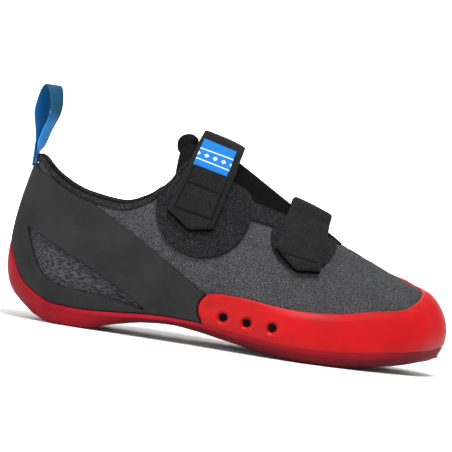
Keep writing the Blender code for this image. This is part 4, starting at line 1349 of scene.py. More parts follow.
@dataclass(frozen=True)
class Rands:
    """The black heel rand with its windows and the red toe rand with its vent holes."""

    last: Last
    seam: float = 0.05 * MM
    end_seam: float = 0.12 * MM
    heel_height: float = 2.1 * MM
    toe_height: float = 2.6 * MM
    band_heel: Pair = (0.0300, 0.915)
    band_arch: Pair = (0.459, 0.300)
    band_bow: float = 0.020
    band_dip: float = 2.4 * MM
    dip_start: Pair = (2.4 * MM, 6.0 * MM)
    dip_end: Pair = (8.0 * MM, 28.0 * MM)
    band_reach: float = 8.2
    window: tuple = (
        (0.0490, 0.528), (0.0520, 0.490), (0.0570, 0.455), (0.0680, 0.388), (0.0800, 0.326),
        (0.0930, 0.284), (0.1100, 0.254), (0.1300, 0.234), (0.1600, 0.222), (0.2100, 0.211),
        (0.2600, 0.195), (0.3280, 0.165), (0.3000, 0.207), (0.2500, 0.280), (0.1900, 0.356), (0.1000, 0.464),
    )
    end_x: float = 0.4805
    end_z: float = 0.225
    end_radius: float = 9.5 * MM
    end_turn: float = 235.0
    toe_top: tuple = (
        0.240, 0.250, 0.275, 0.290, 0.321, 0.354, 0.398, 0.441, 0.505, 0.672, 0.862,
        0.895, 0.868, 0.740, 0.590, 0.550, 0.450, 0.380, 0.330, 0.290, 0.260,
    )
    toe_first: int = 7
    toe_last: int = 27
    window_reach: float = 7.0
    toe_round: float = 1.3 * MM
    toe_cut: float = 0.3
    vents: tuple = ((0.502, 0.190), (0.555, 0.180), (0.611, 0.174))
    vent_radius: float = 2.1 * MM
    crater: float = 0.75 * MM
    crater_rim: float = 0.18 * MM
    tail_dip: float = 0.75 * MM
    skive: float = 0.8 * MM
    skive_width: float = 5.5 * MM
    groove: float = 0.3 * MM

    def band_line(self, x: Array) -> Array:
        """Height of the black band's upper edge at x."""
        (x0, z0), (x1, z1) = self.last.side_view(*self.band_heel), self.last.side_view(*self.band_arch)
        q = (x - x0) / (x1 - x0)
        down, up = (smooth_step(x0 + a, x0 + b, x) for a, b in (self.dip_start, self.dip_end))
        dip = down * (1.0 - up)
        bow = self.band_bow * self.last.instep_height * 4.0 * q * (1.0 - q)
        return z0 + (z1 - z0) * q + bow - self.band_dip * dip

    def in_window(self, points: Array) -> Array:
        """Distance in from the window's outline."""
        return polygon_distance(points[..., 0], points[..., 2], self.last.side_line(self.window))

    def under_edge(self, i: Array) -> Array:
        """Rib position just under the sole's upper edge."""
        return np.maximum(self.last.edge_rib(i) - 0.02, 0.0)

    def over_band(self, i: Array) -> Array:
        """Rib position just over the black band's upper edge."""
        return np.minimum(self.last.on_rib(i, self.band_line) + 0.03, 1.0)

    def within_end(self, points: Array, radius: float) -> Array:
        """Distance into the round rear end of the toe rand, which goes on forward without end."""
        cx, cz = self.last.side_view(self.end_x, self.end_z)
        x, z = points[..., 0], points[..., 2]
        turn = math.radians(self.end_turn)
        disc = radius - np.hypot(x - cx, z - cz)
        below = x - (cx + radius * math.cos(turn))
        tail = np.where(z < cz + radius * math.sin(turn), below, disc)
        return np.maximum(tail, x - cx)

    def heel_inside(self, points: Array, i: Array) -> Array:
        """Distance in from the heel rand's outline."""
        top = (self.band_line(points[..., 0]) - points[..., 2]) * 0.85
        bottom = points[..., 2] - self.last.edge_height(i) - self.seam
        end = -self.within_end(points, self.end_radius + self.end_seam)
        return np.minimum(np.minimum(top, bottom), np.minimum(-self.in_window(points), end))

    def heel(self) -> Surface:
        """The black band."""
        layer = Overlay(self.last, self.heel_height, 0.9 * MM, 0.35)
        return layer.surface(AROUND - self.band_reach, AROUND + self.band_reach, self.under_edge,
                             self.over_band, self.heel_inside)

    def toe_line(self, i: Array) -> Array:
        """Rib position of the toe rand's upper edge."""
        return steady(np.arange(self.toe_first, self.toe_last + 1), self.toe_top, i)

    def vent_distance(self, points: Array) -> Array:
        """Distance from the nearest vent hole's middle, far away on the inner side."""
        best = np.full(points.shape[:-1], 1.0)
        for x, z in self.vents:
            vx, vz = self.last.side_view(x, z)
            best = np.minimum(best, np.hypot(points[..., 0] - vx, points[..., 2] - vz))
        return np.where(points[..., 1] < 0.0, best, 1.0)

    def toe_relief(self, points: Array, inside: Array, i: Array) -> Array:
        """Dip of the tail's middle, the skived rim, the vents' craters and the seam on the sole."""
        cx, cz = self.last.side_view(self.end_x, self.end_z)
        dip = np.exp(-(((points[:, 0] - cx + 1.0 * MM) / (5.0 * MM)) ** 2
                       + ((points[:, 2] - cz - 0.8 * MM) / (3.6 * MM)) ** 2))
        skive = 1.0 - smooth_step(0.0, self.skive_width, inside)
        away = self.vent_distance(points)
        crater = 1.0 - smooth_step(self.vent_radius, 2.1 * self.vent_radius, away)
        rim = np.exp(-((away - 2.0 * self.vent_radius) / (0.9 * MM)) ** 2)
        forward = smooth_step(0.100, 0.135, points[:, 0])
        above = points[:, 2] - self.last.edge_height(i)
        foot = 1.0 - smooth_step(1.2 * MM, 2.4 * MM, above)
        full = self.toe_height * (1.0 - rounded(inside, self.toe_round, self.toe_cut)) * foot
        groove = self.groove * np.exp(-(above / (0.5 * MM)) ** 2)
        skive = skive * smooth_step(2.0 * MM, 6.0 * MM, above)
        return (full - groove - self.tail_dip * dip - self.skive * skive * forward - self.crater * crater
                + self.crater_rim * rim)

    def toe_inside(self, points: Array, i: Array) -> Array:
        """Distance in from the toe rand's outline."""
        edge = self.last.rib(i, self.toe_line(i))
        rise = unit(self.last.rib(i, self.toe_line(i) + 0.01) - edge)
        top = ((edge - points) * rise).sum(-1)
        bottom = points[..., 2] - self.last.edge_height(i) - self.seam
        tail = self.within_end(points, self.end_radius)
        vent = self.vent_distance(points) - self.vent_radius
        return np.minimum(soft_min(soft_min(top, tail, 2.0 * MM), bottom, 0.3 * MM), vent)

    def toe(self) -> Surface:
        """The red rand."""
        layer = Overlay(self.last, self.toe_height, self.toe_round, self.toe_cut, 1.0 * MM)
        return layer.surface(self.toe_first, self.toe_last, self.under_edge,
                             lambda i: np.minimum(self.toe_line(i) + 0.04, 1.0), self.toe_inside,
                             self.toe_relief)

    def window_face(self) -> Surface:
        """The streaked suede that shows in the windows, cut a little larger than they are."""
        layer = Overlay(self.last, 0.12 * MM, 0.5 * MM, 1.0, 1.2 * MM)
        return layer.surface(AROUND - self.window_reach, AROUND + self.window_reach, self.last.edge_rib,
                             lambda i: np.minimum(self.last.on_rib(i, self.band_line), 1.0),
                             lambda points, i: self.in_window(points) + 1.2 * MM)

    def vent_screen(self, place: Pair) -> Surface:
        """The black disc at the bottom of the vent hole at a place of the side view."""
        vx, vz = self.last.side_view(*place)
        near = np.arange(6.0, 14.0)
        i = np.array([np.interp(vx, self.last.rib(near, 0.12)[:, 0], near)])
        t = self.last.on_rib(i, lambda x: np.full_like(x, vz))
        i = np.array([np.interp(vx, self.last.rib(near, t[0])[:, 0], near)])
        middle = self.last.skin(i, t, np.array([0.35 * MM]))[0]
        normal = self.last.normal(i, t)[0]
        side = unit(np.cross(normal, UP))
        up = np.cross(side, normal)
        turns = np.linspace(0.0, 2.0 * math.pi, 20, endpoint=False)[:, None]
        rings = []
        for radius, sink in ((1.35, -0.3), (1.2, 0.0), (0.7, -0.1), (0.0, -0.15)):
            ring = middle + (side * np.cos(turns) + up * np.sin(turns)) * radius * self.vent_radius
            rings.append(ring + normal * sink * MM)
        return tube(np.stack(rings), closed_ends=False)

    def build(self) -> None:
        """Make both rands."""
        make_object("heel_rand_rubber", self.heel(), BLACK_RUBBER.make(), ("heel_rand",))
        make_object("toe_rand_rubber", self.toe(), RED_RUBBER.make(), ("toe_rand",))
        make_object("heel_window_suede", self.window_face(), WINDOW_SUEDE.make())
        screens = joined([self.vent_screen(place) for place in self.vents])
        make_object("vent_screens", screens, BLACK_STRETCH.make())


def lidded(points: list[Pair]) -> list[Pair]:
    """Points of the side view with both ends led straight up to the lid."""
    return [(points[0][0], LID)] + points + [(points[-1][0], LID)]


def slab(outer: Array, inner: Array, cloth: Array) -> Surface:
    """A closed sheet between two grids of points.

    Args:
        outer: Grid of the outer face, seen from outside with columns running down where rows run right.
        inner: Grid of the inner face, point for point behind the outer one.
        cloth: Way along and across for each point of the grid.

    Returns:
        The surface.
    """
    rows, cols = outer.shape[:2]
    count = rows * cols
    front = grid_faces(rows, cols)
    back = [tuple(v + count for v in reversed(face)) for face in front]
    wall = [(b, a, a + count, b + count) for a, b in rim_edges(front)]
    verts = np.concatenate([outer.reshape(-1, 3), inner.reshape(-1, 3)])
    return Surface(verts, front + back + wall, np.tile(cloth.reshape(-1, 2), (2, 1))).turned()


def banded(length: float, edge: float, spacing: float) -> Array:
    """Shares of a length, spaced evenly in the middle and closer near both ends.

    Args:
        length: The whole length, in metres.
        edge: Width of the zone at each end where the points close up.
        spacing: Distance between points in the middle.

    Returns:
        The shares from 0 to 1.
    """
    near = edge * (1.0 - np.cos(np.linspace(0.0, 0.5 * math.pi, 6)))
    middle = np.linspace(edge, length - edge, max(3, int(round((length - 2.0 * edge) / spacing)) + 1))
    return np.concatenate([near[:-1], middle, length - near[-2::-1]]) / length


@dataclass(frozen=True)
class LoopPatch:
    """The charcoal felt that the straps close on: two discs, a bridge between them, and all above."""

    last: Last
    height: float = 1.5 * MM
    large: Pair = (0.4245, 0.775)
    large_radius: float = 27.5 * MM
    large_turn: Pair = (180.0, 356.0)
    small: Pair = (0.6535, 0.700)
    small_radius: float = 19.5 * MM
    small_turn: Pair = (170.0, 350.0)
    first: float = 4.0
    end: float = 13.0
    throat: tuple = (
        (0.620, 0.800), (0.5996, 0.809), (0.5742, 0.827), (0.5485, 0.844), (0.5282, 0.856),
        (0.5198, 0.897), (0.5060, 0.943), (0.4918, 0.975), (0.4800, 0.985),
    )

    def arc(self, middle: Pair, radius: float, turn: Pair) -> list:
        """Points of an arc in the side view."""
        cx, cz = self.last.side_view(*middle)
        turns = np.radians(np.linspace(*turn, 40))
        return [(cx + radius * math.cos(a), cz + radius * math.sin(a)) for a in turns]

    def build(self) -> None:
        """Make the patch, which dips to the throat between the straps."""
        large = self.arc(self.large, self.large_radius, self.large_turn)
        small = self.arc(self.small, self.small_radius, self.small_turn)
        outline = lidded(large + small) + lidded(self.last.side_line(self.throat))
        layer = Overlay(self.last, self.height, 0.6 * MM, 0.55, 0.8 * MM)
        surface = layer.within(self.first, self.end, 0.30, outline)
        make_object("loop_patch_felt", surface, LOOP_FELT.make(), ("loop_patch",))


@dataclass(frozen=True)
class ThroatTrim:
    """The black stretch cloth along the throat's edge, which ends in a point on the vamp."""

    last: Last
    height: float = 0.45 * MM
    line: tuple = (
        (0.470, 0.960), (0.4918, 0.950), (0.5060, 0.918), (0.5198, 0.872), (0.5282, 0.831), (0.5485, 0.819),
        (0.5742, 0.802), (0.5996, 0.780), (0.640, 0.740), (0.690, 0.710), (0.7165, 0.697), (0.7262, 0.690),
        (0.7470, 0.676), (0.7660, 0.662), (0.7735, 0.655),
    )
    first: float = 8.0
    far_first: float = 11.0
    end: float = 13.9

    def side(self, first: float, end: float) -> Surface:
        """The cloth on one side, between two places."""
        layer = Overlay(self.last, self.height, 0.3 * MM, 0.4, 0.8 * MM)
        return layer.within(first, end, 0.55, lidded(self.last.side_line(self.line)))

    def build(self) -> None:
        """Make both sides."""
        cloth = BLACK_STRETCH.make()
        make_object("throat_stretch_outer", self.side(self.first, self.end), cloth)
        make_object("throat_stretch_inner", self.side(AROUND - self.end, AROUND - self.far_first), cloth)


@dataclass(frozen=True)
class Tongue:
    """The padded tongue: thin where it is sewn in, with a thick rolled lip edged in ribbed knit."""

    last: Last
    front: float = 12.4
    lip: float = 6.42
    reach: float = 1.7
    tuck: float = 0.14
    depth: float = 2.6 * MM
    thin: float = 3.2 * MM
    thick: float = 6.8 * MM
    lip_rear: Pair = (0.3570, 1.030)
    lip_top: Pair = (0.3870, 1.160)
    cap: float = 1.125
    under_strap: float = 6.0 * MM
    strap_ends: Pair = (6.8, 7.5)
    lip_bulge: float = 4.5 * MM
    bulge_ends: Pair = (6.45, 7.4)
    lip_from: float = 7.8
    swell: float = 0.5 * MM
    band: float = 4.6 * MM
    band_thickness: float = 0.45 * MM
    rib_pitch: float = 1.3 * MM
    rib_height: float = 0.22 * MM

    def face(self, k: Array, v: Array) -> Array:
        """The outer face at stations k and columns v, where -1 and 1 are the throat's edges."""
        aside = np.maximum(np.abs(v) - 1.0, 0.0)
        i = np.where(v < 0.0, k, AROUND - k)
        tucked = self.last.skin(i, 1.0 - aside * self.tuck, np.full_like(v, -self.depth))
        one = np.ones_like(k)
        outer = self.last.skin(k, one, -self.depth * one)
        inner = self.last.skin(AROUND - k, one, -self.depth * one)
        q = np.clip(0.5 * (v + 1.0), 0.0, 1.0)[..., None]
        arch = np.clip(1.0 - v * v, 0.0, 1.0)
        across = outer + (inner - outer) * q
        crown = self.last.column(TOP, "crown", k, self.last.instep_height)
        rise = crown + self.last.top(k, one)[..., 2] - outer[..., 2]
        across = across + np.stack([0.0 * arch, 0.0 * arch, rise * arch], axis=-1)
        (rear_x, rear_z), (top_x, top_z) = self.last.side_line((self.lip_rear, self.lip_top))
        cap = self.cap * self.last.instep_height + self.under_strap * smooth_step(*self.strap_ends, k)
        soft = 2.0 * MM
        across[..., 2] = cap - soft * np.logaddexp(0.0, (cap - across[..., 2]) / soft)
        across[..., 0] -= self.lip_bulge * (1.0 - smooth_step(*self.bulge_ends, k)) * arch ** 0.3
        lean = np.clip((across[..., 2] - rear_z) / (top_z - rear_z), 0.0, 1.2) ** 3
        push = np.maximum(0.0, rear_x + (top_x - rear_x) * lean - across[..., 0])
        across[..., 0] += push * np.sqrt(arch)
        return np.where((np.abs(v) >= 1.0)[..., None], tucked, across)

    def build(self) -> None:
        """Make the tongue and its knitted edge."""
        k = np.concatenate([np.linspace(self.front, self.lip_from, 64),
                            np.linspace(self.lip_from - 0.04, self.lip, 44)])
        v = np.linspace(-self.reach, self.reach, 171)
        kk, vv = np.meshgrid(k, v, indexing="ij")
        outer = self.face(kk, vv)
        share = (self.front - kk) / (self.front - self.lip)
        normals = upward_normals(outer, len(k) // 2)
        side = 1.0 - 0.9 * smooth_step(1.2, self.reach, np.abs(vv))
        padding = (self.thin + (self.thick - self.thin) * share ** 3) * side
        inner = outer - normals * padding[..., None]
        run = lengths(outer, 0)
        left = run[-1:] - run
        groove = self.swell * np.exp(-((left - self.band - 0.4 * MM) / (0.7 * MM)) ** 2)
        swell = self.swell * np.exp(-((left - self.band - 5.0 * MM) / (3.5 * MM)) ** 2)
        outer = outer + normals * (swell - groove)[..., None]
        turns = np.linspace(0.0, math.pi, 11)[1:-1]
        middle, half = 0.5 * (outer[-1] + inner[-1]), 0.5 * (outer[-1] - inner[-1])
        course = unit(outer[-1] - outer[-3])
        bulge = np.linalg.norm(half, axis=-1, keepdims=True)
        roll = [middle + half * math.cos(a) + course * bulge * math.sin(a) for a in turns]
        rows = np.concatenate([outer, np.array(roll), inner[::-1]], axis=0)
        pad = make_object("tongue_padding", sheet(rows).turned(), BLACK_STRETCH.make(),
                          ("tongue",))
        self.edge(rows, len(k), left)

    def edge(self, rows: Array, count: int, left: Array) -> None:
        """Make the ribbed edging that is folded over the lip.

        Args:
            rows: The tongue's points, from its front over the lip and back under it.
            count: How many rows its outer face has. It is not used.
            left: Distance from the lip for each point of the outer face.
        """
        middle = rows.shape[1] // 2
        first = int(np.argmax(left[:, middle] < self.band))
        last_row = len(rows) - first
        strip = rows[first:last_row]
        fine = np.linspace(0.0, rows.shape[1] - 1.0, 3 * rows.shape[1])
        at = np.minimum(fine.astype(int), rows.shape[1] - 2)
        q = (fine - at)[None, :, None]
        strip = strip[:, at] * (1.0 - q) + strip[:, at + 1] * q
        across = lengths(strip, 1)[:1]
        ends = np.minimum(np.arange(len(strip)), np.arange(len(strip))[::-1])[:, None]
        cover = np.clip(ends / 3.0, 0.0, 1.0) ** 0.5
        ribs = 0.5 + 0.5 * np.cos(2.0 * math.pi * across / self.rib_pitch)
        lift = (self.band_thickness + self.rib_height * ribs) * cover - 0.1 * MM
        strip = strip + upward_normals(strip, 0) * lift[..., None]
        make_object("tongue_lip_band", sheet(strip).turned(), LIP_KNIT.make(), sharp=80.0)


class StrapFace(NamedTuple):
    """A strap's faces: outer and inner points, way along and across, normals, and its rows and columns."""

    outer: Array
    inner: Array
    cloth: Array
    normals: Array
    shares: Array
    ws: Array

    def crossing(self, line: tuple, w: Array) -> Array:
        """Shares of the length at which the strap's columns cross a straight line of the side view.

        Args:
            line: Its rear and front ends, in metres.
            w: Shares of the width.

        Returns:
            The shares.
        """
        (ax, az), (bx, bz) = line
        found = []
        for one in np.atleast_1d(w):
            column = self.at(self.outer, self.shares, np.full_like(self.shares, one))
            off = (column[:, 2] - az) * (bx - ax) - (column[:, 0] - ax) * (bz - az)
            n = int(np.argmax((off[1:] > 0.0) & (off[:-1] <= 0.0)))
            q = off[n] / (off[n] - off[n + 1])
            found.append(self.shares[n] + (self.shares[n + 1] - self.shares[n]) * q)
        return np.array(found)

    def at(self, values: Array, share: Array, w: Array) -> Array:
        """Values of a grid of the strap at shares of its length and of its width."""
        r = np.interp(share, self.shares, np.arange(len(self.shares)))
        c = np.interp(w, self.ws, np.arange(len(self.ws)))
        low_r = np.minimum(r.astype(int), len(self.shares) - 2)
        low_c = np.minimum(c.astype(int), len(self.ws) - 2)
        p, q = (r - low_r)[..., None], (c - low_c)[..., None]
        near = values[low_r, low_c] * (1.0 - q) + values[low_r, low_c + 1] * q
        far = values[low_r + 1, low_c] * (1.0 - q) + values[low_r + 1, low_c + 1] * q
        return near * (1.0 - p) + far * p


@dataclass(frozen=True)
class Strap:
    """A flat strap over the instep, whose long edges lie in planes along Y.

    Attributes:
        name: The node that it stands for.
        hub: Share of the ball width and of the instep height of the point it is laid around.
        rear_x: Where its rear edge passes the hub's height.
        front_x: Where its front edge does.
        rear_lean: How far the rear edge slopes forward as it rises.
        front_lean: How far the front edge does.
        rear_end: Angle of the outer end at the rear edge, from the crown.
        corner_end: The same at the corner of the clipped end.
        front_end: The same at the front edge.
        medial_end: The angle of the inner end.
        rear_lift: How far the strap stands off the instep at its rear.
        front_lift: The same at its front.
        pillow: How far its middle swells.
        hook_share: Share of its length that the hook pad under its outer end takes.
        painted_shadow_peek: How far the pad is dropped, so that it shows below the end as a painted shadow.
    """

    last: Last
    name: str
    hub: Pair
    rear_x: float
    front_x: float
    rear_lean: float
    front_lean: float
    rear_end: float
    corner_end: float
    front_end: float
    medial_end: float
    rear_lift: float
    front_lift: float
    pillow: float = 0.0
    thickness: float = 2.4 * MM
    lateral_seat: float = 2.5 * MM
    medial_seat: float = 0.6 * MM
    corner: float = 0.55
    edge: float = 1.3 * MM
    hook_share: float = 0.16
    painted_shadow_peek: float = 1.5 * MM

    def form(self) -> BVHTree:
        """The closed form under the strap: both walls of the upper and the tongue's crown."""
        k = np.linspace(5.5, 14.0, 86)
        kk, t = np.meshgrid(k, np.linspace(0.1, 1.0, 28), indexing="ij")
        outer = self.last.rib(kk, t)
        inner = self.last.rib(AROUND - kk, t)[:, ::-1]
        v = np.linspace(-1.0, 1.0, 17)[1:-1]
        q = (0.5 * (v + 1.0))[None, :, None]
        bridge = outer[:, -1:] * (1.0 - q) + inner[:, :1] * q
        crown = self.last.column(TOP, "crown", k, self.last.instep_height)
        bridge[..., 2] += crown[:, None] * (1.0 - v * v)[None, :]
        grid = np.concatenate([outer, bridge, inner], axis=1)
        return BVHTree.FromPolygons(grid.reshape(-1, 3).tolist(), grid_faces(*grid.shape[:2]))

    def end_angle(self, w: Array) -> Array:
        """Angle of the outer end across the strap, with its corner a little rounded."""
        def raw(w: Array) -> Array:
            """The end with a sharp corner."""
            return np.interp(w, [0.0, self.corner, 1.0], [self.rear_end, self.corner_end, self.front_end])
        shifts = (-0.05, -0.025, 0.0, 0.025, 0.05)
        return sum(raw(np.clip(w + s, 0.0, 1.0)) for s in shifts) / len(shifts)

    def lay(self, shares: Array, ws: Array) -> Array:
        """Points of the inner face: shares run from the outer end to the inner, ws from rear to front."""
        form = self.form()
        grid = np.zeros((len(shares), len(ws), 3))
        width, height = self.last.ball_width, self.last.instep_height
        for c, w in enumerate(ws):
            end = float(self.end_angle(np.array(w)))
            lean = self.rear_lean + (self.front_lean - self.rear_lean) * w
            x = float(self.last.along(self.rear_x + (self.front_x - self.rear_x) * w))
            hub = Vector((x, self.hub[0] * width, self.hub[1] * height))
            lift = self.rear_lift + (self.front_lift - self.rear_lift) * w
            for r, share in enumerate(shares):
                turn = math.radians(end + (self.medial_end - end) * share)
                course = Vector((lean * math.cos(turn), math.sin(turn), math.cos(turn))).normalized()
                hit, normal, _, _ = form.ray_cast(hub, course)
                blend = float(smooth_step(-0.12, 0.12, np.array(turn)))
                seat = self.lateral_seat + (self.medial_seat - self.lateral_seat) * blend
                upright = math.cos(turn) ** 2
                stand = seat * (1.0 - upright) + lift * upright
                grid[r, c] = hit + course * (stand / max(0.5, abs(course.dot(normal))))
        return grid

    def face(self) -> StrapFace:
        """The strap's outer and inner faces, with what its trim needs to be laid on it."""
        shares = banded(115.0 * MM, 1.6 * MM, 1.3 * MM)
        ws = banded(26.0 * MM, 1.6 * MM, 1.0 * MM)
        inner = self.lay(shares, ws)
        for _ in range(3):
            inner[1:-1] = 0.25 * inner[:-2] + 0.5 * inner[1:-1] + 0.25 * inner[2:]
        cloth = cloth_of(inner)
        along, across = cloth[..., 0], cloth[..., 1]
        normals = upward_normals(inner, len(shares) // 2)
        from_end = np.minimum(along, along[-1:] - along)
        from_side = np.minimum(across, across[:, -1:] - across)
        rim = soft_min(from_end, from_side, 1.2 * MM)
        full = 4.0 * ws * (1.0 - ws)
        height = self.thickness * rounded(rim, self.edge, 0.42) + self.pillow * full[None, :] ** 0.7
        outer = inner + normals * height[..., None]
        lower = inner + normals * (0.55 * MM * (1.0 - rounded(rim, self.edge, 0.0)))[..., None]
        return StrapFace(outer, lower, cloth, normals, shares, ws)

    def build(self) -> StrapFace:
        """Make the strap, and return its faces."""
        face = self.face()
        surface = slab(face.outer, face.inner, face.cloth)
        make_object(self.name + "_cloth", surface, STRAP_CLOTH.make(), (self.name,))
        # The hook pad is real hook tape under the outer end, dropped so that its near black also shows below
        # the strap as a painted shadow.
        rows = int(np.argmax(face.shares > self.hook_share))
        drop = -self.painted_shadow_peek * UP
        top = face.inner[:rows] + face.normals[:rows] * 0.9 * MM + drop
        pad = slab(top, face.inner[:rows] - face.normals[:rows] * 0.3 * MM + drop, face.cloth[:rows])
        make_object(self.name + "_hook_pad_and_painted_shadow", pad, HOOK_PAD_AND_PAINTED_SHADOW.make())
        return face


@dataclass(frozen=True)
class Straps:
    """Both straps with their stitching, and the woven label on the upper one.

    The lines are rear and front ends in the side view, in shares of length and instep height.
    """

    last: Last
    label_low: tuple = ((0.384, 1.032), (0.465, 0.984))
    label_high: tuple = ((0.400, 1.182), (0.475, 1.134))
    label_rear: float = 0.07
    label_front: float = 0.84
    label_thickness: float = 0.6 * MM
    under_label: tuple = ((0.372, 0.934), (0.466, 0.876))
    above_end: tuple = ((0.3535, 0.781), (0.4446, 0.734))
    lower_end: tuple = ((0.600, 0.610), (0.695, 0.575))
    seam: float = 0.115

    def crossed(self, face: StrapFace, ends: tuple, w: Array) -> Array:
        """Shares of a strap's length at which its columns w cross a line."""
        return face.crossing(self.last.side_line(ends), w)

    def sew(self, name: str, face: StrapFace, seams: list[tuple[Array, Array]]) -> None:
        """Make the stitching of a strap along seams given as shares of length and of width."""
        sewn = []
        for share, w in seams:
            path, ups = face.at(face.outer, share, w), unit(face.at(face.normals, share, w))
            sewn.append(Stitching().along(path, ups))
        make_object(name, joined(sewn), SEWING_THREAD.make())

    def upper(self) -> StrapFace:
        """Make the upper strap."""
        face = Strap(
            self.last, "upper_strap", hub=(0.02, 0.60), rear_x=0.329, front_x=0.443, rear_lean=0.29,
            front_lean=0.24, rear_end=-65.0, corner_end=-81.0, front_end=-77.0, medial_end=76.0,
            rear_lift=2.4 * MM, front_lift=6.4 * MM, pillow=0.3 * MM,
        ).build()
        across = np.linspace(self.seam, 1.0 - self.seam, 24)
        seams = [(self.crossed(face, ends, across), across) for ends in (self.under_label, self.above_end)]
        for w in (self.seam, 1.0 - self.seam):
            ends = [self.crossed(face, line, w)[0] for line in (self.above_end, self.label_low)]
            share = np.linspace(ends[0], ends[1] - 0.012, 40)
            seams.append((share, np.full_like(share, w)))
        self.sew("upper_strap_stitching", face, seams)
        return face

    def lower(self) -> None:
        """Make the lower strap."""
        face = Strap(
            self.last, "lower_strap", hub=(0.06, 0.40), rear_x=0.572, front_x=0.691, rear_lean=0.228,
            front_lean=0.10, rear_end=-56.0, corner_end=-73.5, front_end=-70.0, medial_end=72.0,
            rear_lift=2.2 * MM, front_lift=6.4 * MM, pillow=0.7 * MM,
        ).build()
        across = np.linspace(self.seam, 1.0 - self.seam, 24)
        self.sew("lower_strap_stitching", face, [(self.crossed(face, self.lower_end, across), across)])

    def label(self, face: StrapFace) -> None:
        """Make the label on the upper strap."""
        w = np.linspace(self.label_rear, self.label_front, 24)
        low, high = (self.crossed(face, ends, w) for ends in (self.label_low, self.label_high))
        q = np.linspace(0.0, 1.0, 20)[:, None]
        share = low * (1.0 - q) + high * q
        ww = np.broadcast_to(w, share.shape)
        base, up = face.at(face.outer, share, ww), face.at(face.normals, share, ww)
        cloth = cloth_of(base)
        rim = np.minimum(np.minimum(cloth[..., 0], cloth[-1:, :, 0] - cloth[..., 0]),
                         np.minimum(cloth[..., 1], cloth[:, -1:, 1] - cloth[..., 1]))
        outer = base + up * (self.label_thickness * rounded(rim, 0.8 * MM, 0.6))[..., None]
        surface = slab(outer, base - up * 0.2 * MM, cloth)
        make_object("strap_label_weave", surface, LABEL_WEAVE.make(), ("strap_label",))

    def build(self) -> None:
        """Make all of it."""
        self.lower()
        self.label(self.upper())


@dataclass(frozen=True)
class CollarBinding:
    """The knit binding on the collar's edge, with the dark cord that its upper edge is rolled around."""

    last: Last
    reach: float = 6.0
    heel_swell: float = 0.45
    heel_sink: float = 1.8 * MM
    felt_from: float = 5.3
    felt_end: float = 6.95
    height: float = 4.2 * MM
    thickness: float = 3.6 * MM
    wall: float = 2.0 * MM
    seam: float = 0.6 * MM
    cord: float = 0.75 * MM
    spacing: float = 0.8 * MM

    def sections(self, outline: Array, first: float, end: float) -> Array:
        """Sections along the collar of an outline given across the wall and up it, as shares."""
        i = walk(self.last, first, end, self.spacing)
        edge = self.last.rib(i, np.ones_like(i))
        rise = unit(edge - self.last.rib(i, np.full_like(i, 0.97)))
        out = self.last.normal(i, np.ones_like(i))
        heel = np.exp(-((i - AROUND) / 0.5) ** 2)[:, None]
        foot = edge + rise * (self.seam - self.heel_sink * heel) - out * 0.5 * (self.wall + self.thickness)
        across = out[:, None] * outline[None, :, :1] * self.thickness
        across = across * (1.0 + self.heel_swell * heel[:, :, None])
        taper = 0.15 + 0.85 * smooth_step(AROUND - self.reach, AROUND - self.reach + 0.5, i)[:, None, None]
        up = rise[:, None] * outline[None, :, 1:] * self.height * taper
        return foot[:, None] + across + up

    def build(self) -> None:
        """Make the binding and its cord."""
        turns = np.linspace(0.0, math.pi, 13)
        arch = np.stack([0.5 + 0.5 * np.cos(turns), 0.72 + 0.28 * np.sin(turns)], axis=-1)
        outline = np.concatenate([[[0.06, -0.05], [0.94, -0.05], [0.99, 0.05], [1.0, 0.35]], arch,
                                  [[0.0, 0.35], [0.01, 0.05]]])
        ends = (AROUND - self.reach, AROUND + self.felt_from)
        surface = tube(self.sections(outline, *ends))
        make_object("collar_binding_knit", surface, BINDING_KNIT.make(), ("collar_binding",))
        ring = np.linspace(0.0, 2.0 * math.pi, 10, endpoint=False)
        centre = np.array([0.80, 0.93])
        radii = np.array([self.cord / self.thickness, self.cord / self.height])
        cord = centre + np.stack([np.cos(ring), np.sin(ring)], axis=-1) * radii
        make_object("collar_binding_cord", tube(self.sections(cord, *ends)), BLACK_STRETCH.make())
        cap = outline * np.array([1.17, 0.97]) + np.array([0.03, 0.0])
        cap = tube(self.sections(cap, AROUND + self.felt_from - 0.03, AROUND + self.felt_end))
        make_object("collar_felt_edge", cap, LOOP_FELT.make())


class LoopRow(NamedTuple):
    """A point of the pull loop's tape: share of its height, mm forward, mm aside, turn across."""

    height: float
    forward: float
    aside: float
    turn: float


LOOP = (
    LoopRow(0.00, 0.85, 0.0, 90.0),
    LoopRow(0.12, 1.05, -0.1, 88.0),
    LoopRow(0.20, 1.95, -0.3, 73.0),
    LoopRow(0.28, 2.70, -0.5, 64.0),
    LoopRow(0.42, 4.40, -1.5, 63.0),
    LoopRow(0.56, 6.65, -3.6, 60.0),
    LoopRow(0.66, 7.85, -4.9, 56.0),
    LoopRow(0.77, 7.95, -5.1, 50.0),
    LoopRow(0.88, 7.05, -4.2, 43.0),
    LoopRow(0.96, 5.75, -2.4, 33.0),
    LoopRow(1.00, 4.05, 0.0, 27.0),
    LoopRow(0.96, 2.25, 2.4, 27.0),
    LoopRow(0.88, 0.95, 4.2, 27.0),
    LoopRow(0.77, 0.05, 5.1, 26.0),
    LoopRow(0.66, -0.55, 4.9, 27.0),
    LoopRow(0.56, -0.20, 3.6, 36.0),
    LoopRow(0.42, 0.75, 1.5, 50.0),
    LoopRow(0.28, 1.15, 0.5, 62.0),
    LoopRow(0.20, 0.25, 0.3, 73.0),
    LoopRow(0.12, -0.65, 0.1, 88.0),
    LoopRow(0.00, -0.85, 0.0, 90.0),
)


